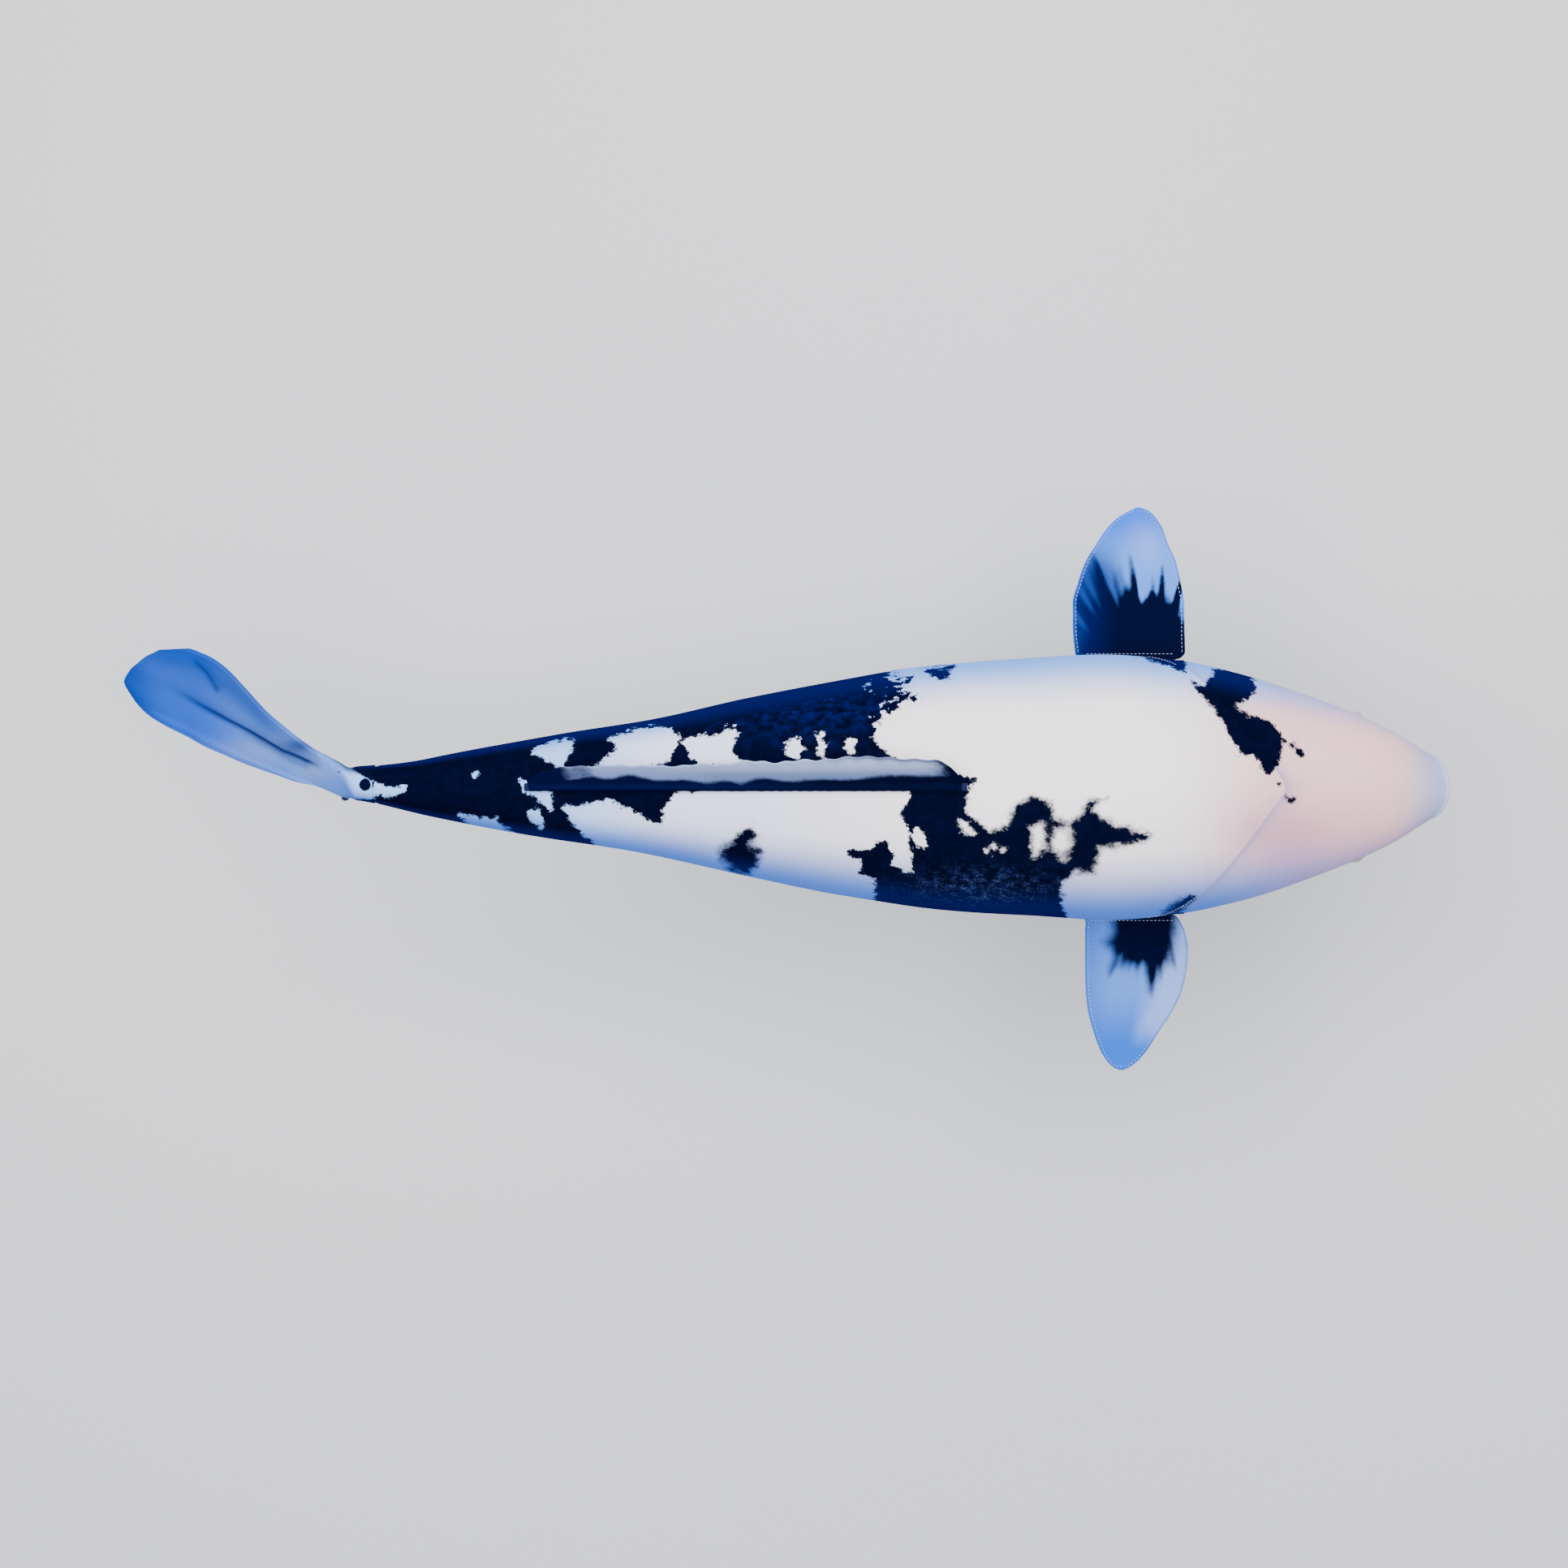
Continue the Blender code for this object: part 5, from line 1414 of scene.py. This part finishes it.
# Painted shade: the creases, and a patch of their network near the cuff, are darkened.
colour = mixed(colour, paint(10, 30, 92), 0.95 * painted_crease_shade)
colour = mixed(colour, paint(20, 52, 130), 0.8 * spread(s_at, q_at, (846, 31), (16, 6)))
colour = mixed(colour, TAIL_STREAK, 0.45 * eased((np.abs(share_v) - 0.93) / 0.07) * eased((s_at - 850) / 20))
stalk_ink = body_ink(s_at, q_at, 20.0 * np.maximum(-share_v, 0))
stalk_ink = np.minimum(stalk_ink, (821 - s_at) * 0.55 + 6 * share_v)
turn_at = np.broadcast_to(around, s_at.shape)
near_body = body_cloth(s_at, q_at, turn_at, 0 * s_at)
colour = near_body + (colour - near_body) * eased((s_at - 796) / 30)[..., None]
values = print_values(colour, stalk_ink, 0.8 + 3.6 * eased((s_at - 800) / 14), on_flank(turn_at))

print("the tail's ink ends", round(float(s_at[stalk_ink > 0].max())), "mm behind the mouth")

# %% [markdown]
# The leaf is one closed shell. The cuff is thin cloth, so there the shell has an inside as well, which ends
# in a flat seam where the leaf begins.

# %% Tail mesh
inner_rows = len(sections) + 2
inner = outer[:inner_rows] - grid_normals(outer, around=True)[:inner_rows] * CLOTH
points = np.concatenate([outer.reshape(-1, 3), inner.reshape(-1, 3)])
first_inner = rows * TAIL_ROUND
faces = [*grid_faces(rows, TAIL_ROUND, around=True),
         *grid_faces(inner_rows, TAIL_ROUND, first_inner, flip=True, around=True),
         *edge_strip(range(TAIL_ROUND), first_inner)]
faces += end_cap(TAIL_ROUND, (rows - 1) * TAIL_ROUND)
faces += end_cap(TAIL_ROUND, first_inner + (inner_rows - 1) * TAIL_ROUND, flip=True)
along_run = np.broadcast_to(run(outer[:, 0])[:, None], s_at.shape)
across_run = np.broadcast_to(share_v * 0.06, s_at.shape)
values["cloth_uv"] = np.stack([along_run, across_run], axis=-1)
both = {}
for key, value in values.items():
    flat = np.broadcast_to(value, s_at.shape + value.shape[2:]).reshape((first_inner,) + value.shape[2:])
    both[key] = np.concatenate([flat, flat[:inner_rows * TAIL_ROUND]])
tail = make_piece("tail_fin", [(points, faces, both)], sharp=60)
dress(tail, PRINTED_FIN, lambda piece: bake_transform(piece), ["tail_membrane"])
TAIL_CUT = (0.115, 0.192)
declare(tail, *TAIL_CUT, area_of(outer, around=True) / 2, rests_on=["tail_upper_spar", "tail_lower_spar"])

# %% [markdown]
# The spars run inside the edges of the leaf, between its two layers.

# %% Tail spars
spars = []
for edge in (0.90, -0.90):
    u_line, v_line = np.linspace(0.12, 0.88, 40), np.full(40, edge)
    line = leaf_middle(u_line, v_line)
    moved = leaf_wave(u_line[None], v_line[None], line[None])[0][0]
    spars.append(rod_shell(line + leaf_face(u_line, v_line) * moved[:, None], 0.0010))
tail_spars = make_piece("tail_spars", spars)
print(len(spars), "spars in the tail")

# %% [markdown]
# The three last hoops sit just under the cloth. The two that lie in a bend stay where they are made, and the
# last rides on the stalk.

# %% Stalk hoops


def ring_faces(rows, columns):
    """The faces of a grid that is closed both ways."""
    index = np.arange(rows * columns).reshape(rows, columns)
    after = np.roll(index, -1, axis=0)
    corners = [index, np.roll(index, -1, axis=1), np.roll(after, -1, axis=1), after]
    return np.stack(corners, axis=-1).reshape(-1, 4)


def hoop_shell(s, radius=0.0015, gap=0.0003, sides=10, steps=72):
    """A closed round rod bent into the skin's oval, just inside the cloth."""
    turn = np.linspace(0, 2 * math.pi, steps, endpoint=False)
    line = skin(np.full(steps, s), turn, -CLOTH - radius - gap)
    along = np.roll(line, -1, axis=0) - np.roll(line, 1, axis=0)
    along /= np.linalg.norm(along, axis=1, keepdims=True)
    back = np.array([1.0, 0, 0])
    out = np.cross(along, back)
    spin = np.linspace(0, 2 * math.pi, sides, endpoint=False)[:, None]
    flat = (line[:, None] + radius * (np.cos(spin) * out[:, None] + np.sin(spin) * back)).reshape(-1, 3)
    return flat, facing_out(flat, ring_faces(steps, sides)), {}


HOOP_SETTLE = {"rear_hoop": on_rear, "stalk_hoop": on_droop, "tail_hoop": ride_on("stalk")}
hoops = {}
for hoop_name in HOOP_SETTLE:
    low_x, high_x = (corner.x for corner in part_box(hoop_name))
    hoops[hoop_name] = make_piece(hoop_name + "_rod", [hoop_shell(-(low_x + high_x) / 2)])
print("hoops under the cloth:", ", ".join(hoops))

# %% [markdown]
# ## The mouth's hem
# The head's front edge is rolled round the mouth ring's flange and stitched, with small gathers where the
# cloth is eased in. It is turned: one section, swept round the ring's axis.

# %% Lip hem
MOUTH = Matrix.Rotation(math.radians(90) + MOUTH_TILT, 4, "Y")
# A section of radius and height, in metres; the cloth keeps a small gap from the ring's band and flange.
LIP_GAP = 0.0003
BAND, FLANGE = 0.0213 + LIP_GAP, 0.0230 + LIP_GAP
LIP_SECTION = [
    (BAND, -0.0030), (0.0228, -0.00325), (0.0238, -0.0032), (0.0246, -0.0027), (0.0249, -0.0020),
    (0.02465, -0.0012), (0.02475, -0.0008), (0.0249, 0.0000), (0.0250, 0.0010), (0.0249, 0.0020),
    (0.0245, 0.0027), (0.0237, 0.0032), (0.0227, 0.00325), (BAND, 0.0030), (BAND, 0.0018),
    (FLANGE, 0.0018), (FLANGE, -0.0018), (BAND, -0.0018)]


def turned_shell(place, section, sides, gather, values):
    """A closed section of (radius, height) turned round the place's z axis."""
    turn = np.linspace(0, 2 * math.pi, sides, endpoint=False)[:, None]
    section = np.array(section)
    radius = section[:, 0] + gather(turn, section)
    height = np.broadcast_to(section[:, 1], radius.shape)
    points = placed(place, np.stack([radius * np.cos(turn), radius * np.sin(turn), height], axis=-1))
    flat, count = points.reshape(-1, 3), len(section)
    spot = np.stack(np.broadcast_arrays(turn * section[:, 0].mean(), np.arange(count) * 0.0012), axis=-1)
    given = {key: np.broadcast_to(value, (len(flat),) + np.shape(value)) for key, value in values.items()}
    return flat, facing_out(flat, ring_faces(sides, count)), dict(given, cloth_uv=spot.reshape(-1, 2))


def lip_gather(turn, section):
    outward = eased((section[:, 0] - 0.0233) / 0.0012)
    return 0.00012 * outward * (np.sin(turn * 46 + 2 * np.sin(turn * 3)) + 0.5 * np.sin(turn * 31 + 1))


lip_values = print_values(mixed(NOSE, WHITE, 0.25), -20.0, 0.5, 0.0)
lip = make_piece("lip_roll", [turned_shell(MOUTH, LIP_SECTION, 240, lip_gather, lip_values)], sharp=60)
dress(lip, PRINTED, ride_on("front"), ["lip_hem"])
print("the lip is", round(2 * MM * max(radius for radius, height in LIP_SECTION)), "mm across")

# %% [markdown]
# ## Eyes
# Each eye is a shallow moulded dome with a dark pupil dome on it, glued to the cheek.

# %% Domed eyes


def dome_shell(place, radius, rise, base, sides=64, rings=14):
    """A closed dome on a short rim."""
    profile = [(radius * 0.94, base), (radius, base + 0.12 * rise)]
    for k in range(1, rings + 1):
        turn = k / rings * math.pi / 2
        profile.append((radius * math.cos(turn), base + rise * (0.25 + 0.75 * math.sin(turn))))
    turn = np.linspace(0, 2 * math.pi, sides, endpoint=False)
    circles = [np.stack([r * np.cos(turn), r * np.sin(turn), 0 * turn + h], axis=-1) for r, h in profile[:-1]]
    points = np.concatenate(circles + [[[0, 0, profile[-1][1]]]])
    top = len(points) - 1
    last = top - sides
    faces = [tuple(range(sides))[::-1], *grid_faces(len(circles), sides, flip=True, around=True)]
    faces += [(last + j, last + (j + 1) % sides, top) for j in range(sides)]
    return placed(place, points), faces, {}


def eye_place(node_name):
    """The seat of a round flat CAD disc: its centre, and z along its normal away from the body."""
    points = np.array([vertex.co for vertex in frame["nodes"][node_name].data.vertices])
    centre = points.mean(axis=0)
    normal = np.linalg.svd(points - centre)[2][2]
    normal = normal * np.sign(normal[1] * centre[1])
    place = Vector(normal).to_track_quat("Z", "X").to_matrix().to_4x4()
    low = ((points - centre) @ normal).min()
    place.translation = Vector(centre + normal * low)
    return place


eyes = []
for side in ("left", "right"):
    iris_place, pupil_place = eye_place(side + "_eye_iris"), eye_place(side + "_eye_pupil")
    iris = make_piece(side + "_iris", [dome_shell(iris_place, 0.0085, 0.0017, 0.0)])
    pupil = make_piece(side + "_pupil", [dome_shell(pupil_place, 0.0046, 0.0019, 0.0)])
    for piece, node_name, slot in ((iris, "iris", "eye_white"), (pupil, "pupil", "eye_black")):
        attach(piece, "front")
        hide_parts(f"{side}_eye_{node_name}")
    eyes.append((iris, pupil))
print("eyes:", ", ".join(piece.name for pair in eyes for piece in pair))

# %% [markdown]
# ## Rods, ring and loops
# The hard parts keep the frame's own meshes and get their real materials: drawn glass fibre with fine
# lengthwise fibres under a gloss coat, a moulded ring with a slight skin, and woven webbing for the loops.

# %% Hard materials


def fibreglass_material():
    made, tree, shader = new_material("glass fibre", 0.35, Coat_Weight=0.35, Coat_Roughness=0.15)
    stretch = {"Vector": object_place(tree), "Scale": (40.0, 900.0, 900.0)}
    drawn = node(tree, "ShaderNodeMapping", stretch).outputs[0]
    fibres = noise(tree, drawn, 1.0, 4.0, 0.7)
    colour = blended(tree, fitted(tree, fibres, 0.35, 0.65), paint(196, 192, 178), paint(226, 224, 214))
    link_looks(tree, shader, colour, fitted(tree, fibres, 0.3, 0.7, 0.30, 0.48))
    return made


def moulded_material():
    made, tree, shader = new_material("moulded plastic", 0.38)
    place = object_place(tree)
    slow = noise(tree, place, 60.0, 3.0, 0.5)
    colour = blended(tree, slow, paint(176, 184, 206), paint(206, 210, 224))
    link_looks(tree, shader, colour, fitted(tree, slow, 0.3, 0.7, 0.30, 0.46),
               noise(tree, place, 900.0, 3.0, 0.6),
               0.15, 0.0001)
    return made


def webbing_material():
    made, tree, shader = new_material("webbing", 0.8, Specular_IOR_Level=0.15)
    split = node(tree, "ShaderNodeSeparateXYZ", {0: object_place(tree)}).outputs
    ribs = math_node(tree, "SINE", times(tree, split[0], 2 * math.pi / 0.0008))
    cross = math_node(tree, "SINE", times(tree, plus(tree, split[1], split[2]), 2 * math.pi / 0.0010))
    weave = times(tree, ribs, cross)
    colour = blended(tree, fitted(tree, weave, -1.0, 1.0), paint(6, 14, 46), paint(14, 28, 76))
    link_looks(tree, shader, colour, None, weave, 0.5, 0.0003)
    return made


def iris_material(centre):
    """A pale eye with a warm ring; the distance is taken from the eye's own centre height and length."""
    made, tree, shader = new_material("moulded eye", 0.22, Coat_Weight=0.6, Coat_Roughness=0.08)
    place = attribute(tree, "rest", "Vector")
    away = node(tree, "ShaderNodeVectorMath", {0: place, 1: centre}, operation="SUBTRACT").outputs[0]
    flat = node(tree, "ShaderNodeVectorMath", {0: away, 1: (1.0, 0.0, 1.0)}, operation="MULTIPLY").outputs[0]
    radius = node(tree, "ShaderNodeVectorMath", {0: flat}, operation="LENGTH").outputs["Value"]
    streak = times(tree, noise(tree, place, 700.0, 3.0, 0.6), 0.0016)
    ring = fitted(tree, plus(tree, radius, streak), 0.0052, 0.0088)
    link_looks(tree, shader, blended(tree, ring, paint(214, 176, 96), paint(228, 224, 210)))
    return made


def noisy_material(name, roughness, scale, detail, dark, light, **uniform):
    """A plain material whose colour varies with fine noise."""
    made, tree, shader = new_material(name, roughness, **uniform)
    link_looks(tree, shader, blended(tree, noise(tree, object_place(tree), scale, *detail), dark, light))
    return made


GLASS_FIBRE, MOULDED, WEBBING = fibreglass_material(), moulded_material(), webbing_material()
PUPIL = noisy_material("pupil", 0.08, 300.0, (), paint(4, 4, 8), paint(12, 12, 18),
                       Coat_Weight=0.8, Coat_Roughness=0.04)
for iris, pupil in eyes:
    centre = np.array([vertex.co for vertex in iris.data.vertices]).mean(axis=0)
    iris.data.materials.append(iris_material(tuple(centre.tolist())))
    pupil.data.materials.append(PUPIL)
BATTEN_NODES = ["dorsal_front_batten", "dorsal_middle_batten", "dorsal_rear_batten"]
GLASS_PIECES = [(dorsal_battens, ride_on("dorsal"), BATTEN_NODES),
                (tail_spars, ride_on("tail"), ["tail_upper_spar", "tail_lower_spar"])]
GLASS_PIECES += [(piece, HOOP_SETTLE[name], [name]) for name, piece in hoops.items()]
for piece, settle, nodes in GLASS_PIECES:
    dress(piece, GLASS_FIBRE, settle, nodes)
WORD_LOOKS = {"ring": MOULDED, "loop": WEBBING, "hoop": GLASS_FIBRE, "rod": GLASS_FIBRE, "pin": GLASS_FIBRE,
              "spar": GLASS_FIBRE}
left_as_made = {name: part for name, part in frame["nodes"].items() if not part.hide_render}
for name, part in left_as_made.items():
    part.data.materials.clear()
    part.data.materials.append(next(look for word, look in WORD_LOOKS.items() if word in name))
print("keep the frame's own shape:", ", ".join(left_as_made))

# %% [markdown]
# ## Stitches
# Every seam is topstitched with a light thread. The stitches repeat along a path, so they are made with
# Geometry Nodes: the path is resampled, a small capsule is set at each point along the path's direction, and
# the result is realised. The node group has named inputs for the stitch's spacing, length and thickness.

# %% Stitch node group


def stitch_group():
    tree = bpy.data.node_groups.new("Running stitches", "GeometryNodeTree")
    given, out = add_sockets(tree, [
        ("Path", "Geometry", None), ("Spacing", "Float", 0.0032), ("Length", "Float", 0.0022),
        ("Thickness", "Float", 0.0004), ("Thread", "Material", None)], [("Stitches", "Geometry")])

    def step(kind, inputs, **settings):
        return node(tree, kind, inputs, **settings).outputs[0]
    curve = step("GeometryNodeMeshToCurve", {"Mesh": given["Path"]})
    even = step("GeometryNodeResampleCurve", {"Curve": curve, "Length": given["Spacing"]}, mode="LENGTH")
    tangent = step("GeometryNodeInputTangent", {})
    turn = step("FunctionNodeAlignRotationToVector", {"Vector": tangent}, axis="Z")
    size = step("ShaderNodeCombineXYZ", {0: given["Thickness"], 1: given["Thickness"], 2: given["Length"]})
    capsule = step("GeometryNodeMeshIcoSphere", {"Radius": 0.5, "Subdivisions": 2})
    capsule = step("GeometryNodeTransform", {"Geometry": capsule, "Scale": size})
    smooth = step("GeometryNodeSetShadeSmooth", {"Geometry": capsule})
    spread_out = step("GeometryNodeInstanceOnPoints", {"Points": even, "Instance": smooth, "Rotation": turn})
    real = step("GeometryNodeRealizeInstances", {"Geometry": spread_out})
    tree.links.new(step("GeometryNodeSetMaterial", {"Geometry": real, "Material": given["Thread"]}), out[0])
    return tree


STITCHES = stitch_group()
STITCH_FACES = 80
THREAD = noisy_material("thread", 0.55, 1500.0, (2.0, 0.5), paint(172, 180, 202), paint(206, 210, 222),
                        Specular_IOR_Level=0.2)


def stitch_piece(name, paths, spacing=0.0032, length=0.0022, thickness=0.0004):
    """Stitches along lines of points, as one plain mesh."""
    points, edges = [], []
    for path in paths:
        start = len(points)
        points += np.asarray(path).tolist()
        edges += [(start + k, start + k + 1) for k in range(len(path) - 1)]
    mesh = bpy.data.meshes.new(name + "_path")
    mesh.from_pydata(points, edges, [])
    path_object = add_object(name + "_path", mesh)
    modifier = path_object.modifiers.new("stitches", "NODES")
    modifier.node_group = STITCHES
    sockets = {item.name: item.identifier for item in STITCHES.interface.items_tree
               if item.item_type == "SOCKET"}
    given = {"Spacing": spacing, "Length": length, "Thickness": thickness, "Thread": THREAD}
    for key, value in given.items():
        modifier[sockets[key]] = value
    bpy.context.view_layer.update()
    graph = bpy.context.evaluated_depsgraph_get()
    made = bpy.data.meshes.new_from_object(path_object.evaluated_get(graph), depsgraph=graph)
    bpy.data.objects.remove(path_object)
    made.materials.clear()
    made.materials.append(THREAD)
    piece = add_object(name, made)
    print(f"{name}: {len(made.polygons) // STITCH_FACES} stitches")
    return piece


# %% [markdown]
# The flank seams have a row of stitches on each side, all the way from the mouth to the rear sleeve. The gill
# seam has one row on the shoulder side.

# %% Body stitches


def flank_rows(first, last, gap=0.0022, out=0.00002):
    """Two rows of stitches along each flank seam."""
    s = np.arange(first + 0.001, last - 0.001, 0.002)
    arc = (half_width(s) + half_height(s)) / 2
    return [skin(s, seam + side * gap / arc, out) for seam in (LEFT_SEAM, RIGHT_SEAM) for side in (-1, 1)]


lip_turn = np.arange(LEFT_SEAM, LEFT_SEAM + 2 * math.pi, 0.02)
lip_row = skin(np.full(lip_turn.shape, LIP_EDGE + 0.0035), lip_turn, 0.0001)
front_stitches = stitch_piece("front_stitches", flank_rows(LIP_EDGE + 0.004, GILL_FLANK) + [lip_row])
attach(front_stitches, "front")
gill_turn = np.arange(math.radians(100), math.radians(80 + 360), 0.012)
from_below = (gill_turn + math.pi / 2) % (2 * math.pi) - math.pi / 2
gill_row = skin(gill_line(from_below) + 0.0028, gill_turn, 0.0001)
shoulder_stitches = stitch_piece("shoulder_stitches", flank_rows(GILL_FLANK, SHOULDER_END) + [gill_row])
on_waist(shoulder_stitches)
middle_stitches = stitch_piece("middle_stitches", flank_rows(SHOULDER_END, REAR_START))
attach(middle_stitches, "middle")

# %% [markdown]
# The fins' sleeves are closed by one row of stitches, and their hems by another that runs inside the edge.

# %% Fin stitches


def fin_rows(place, table, rays, depth, camber, sleeve_row, hem=0.0024):
    """A row inside the free edges and a row along the sleeve, on the fin's upper face, in the row frame."""
    lead, trail = curves_through(table, 1 / MM)
    tip = table[-1][0] / MM
    w = np.concatenate([np.linspace(0.010, tip - 0.012, 50),
                        tip - 0.012 + 0.009 * np.sin(np.linspace(0.1, 1.5, 14))])
    slim = np.clip((lead(w) - trail(w)) / 2 - 0.0004, 0.0003, hem)
    rows = [(np.append(lead(w) - slim, (trail(w) + slim)[::-1]), np.append(w, w[::-1]))]
    if sleeve_row:
        rows.append((np.linspace(0.032, -0.032, 60), np.full(60, sleeve_row)))
    made = []
    for f, w in rows:
        middle = fin_height(f, w, table, rays, depth, camber)[0]
        half = fin_half_thickness(w, edge_distance(f, w, table), bool(sleeve_row))
        made.append(placed(place, np.stack([f, w, middle + half + 0.00003], axis=-1)))
    return made


for name, (place, table) in PECTORALS.items():
    rows = fin_rows(place, table, 9, 0.0003, 0.002, 0.0078)
    piece = stitch_piece(name + "_stitches", rows, 0.0030, 0.0020, 0.00036)
    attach(piece, name)
for name, (place, table) in SMALL_FINS.items():
    rows = fin_rows(place, table, 3, 0.0002, 0.0008, 0, 0.0018)
    piece = stitch_piece(name + "_stitches", rows, 0.0028, 0.0019, 0.0003)
    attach(piece, name)

# %% [markdown]
# ## Light, floor and camera
# The streamer is shown over a plain pale floor under broad soft lights, with the camera straight above it.

# %% Stage


FLOOR_GREY, FLOOR_HEIGHT = (0.62, 0.62, 0.62, 1), -0.30
ROOM_LIGHT, ROOM_STRENGTH = (0.80, 0.84, 0.92, 1), 1.15


def lamp(name, place, target, size, power):
    """A rectangular lamp that points at a target; power is in watts."""
    light = bpy.data.lights.new(name, "AREA")
    light.shape, light.size, light.size_y, light.energy = "RECTANGLE", size[0], size[1], power
    made = add_object(name, light)
    made.location = place
    made.rotation_euler = (Vector(target) - Vector(place)).to_track_quat("-Z", "Y").to_euler()


bpy.ops.mesh.primitive_plane_add(size=14, location=(AIM[0], 0, FLOOR_HEIGHT))
floor = bpy.context.active_object
floor.name = "floor"
floor_look, _, floor_shader = new_material("pale floor", 0.9)
floor_shader.inputs["Base Color"].default_value = FLOOR_GREY
floor.data.materials.append(floor_look)
world = bpy.data.worlds.new("soft room")
world.use_nodes = True
background = world.node_tree.nodes["Background"].inputs
background["Color"].default_value = ROOM_LIGHT
background["Strength"].default_value = ROOM_STRENGTH
bpy.context.scene.world = world
lamp("overhead", (-0.48, 0.25, 1.9), AIM, (2.2, 1.6), 82)
lamp("left fill", (-0.2, 1.6, 1.0), AIM, (1.4, 1.0), 14)
camera = add_object("camera", bpy.data.cameras.new("camera"))
camera.data.sensor_width, camera.data.lens = SENSOR, LENS
camera.data.clip_end = 50
camera.location = (AIM[0], AIM[1], AIM[2] + CAMERA_RISE)
bpy.context.scene.camera = camera
print("camera", round(camera.location.z, 3), "m above the frame's origin")
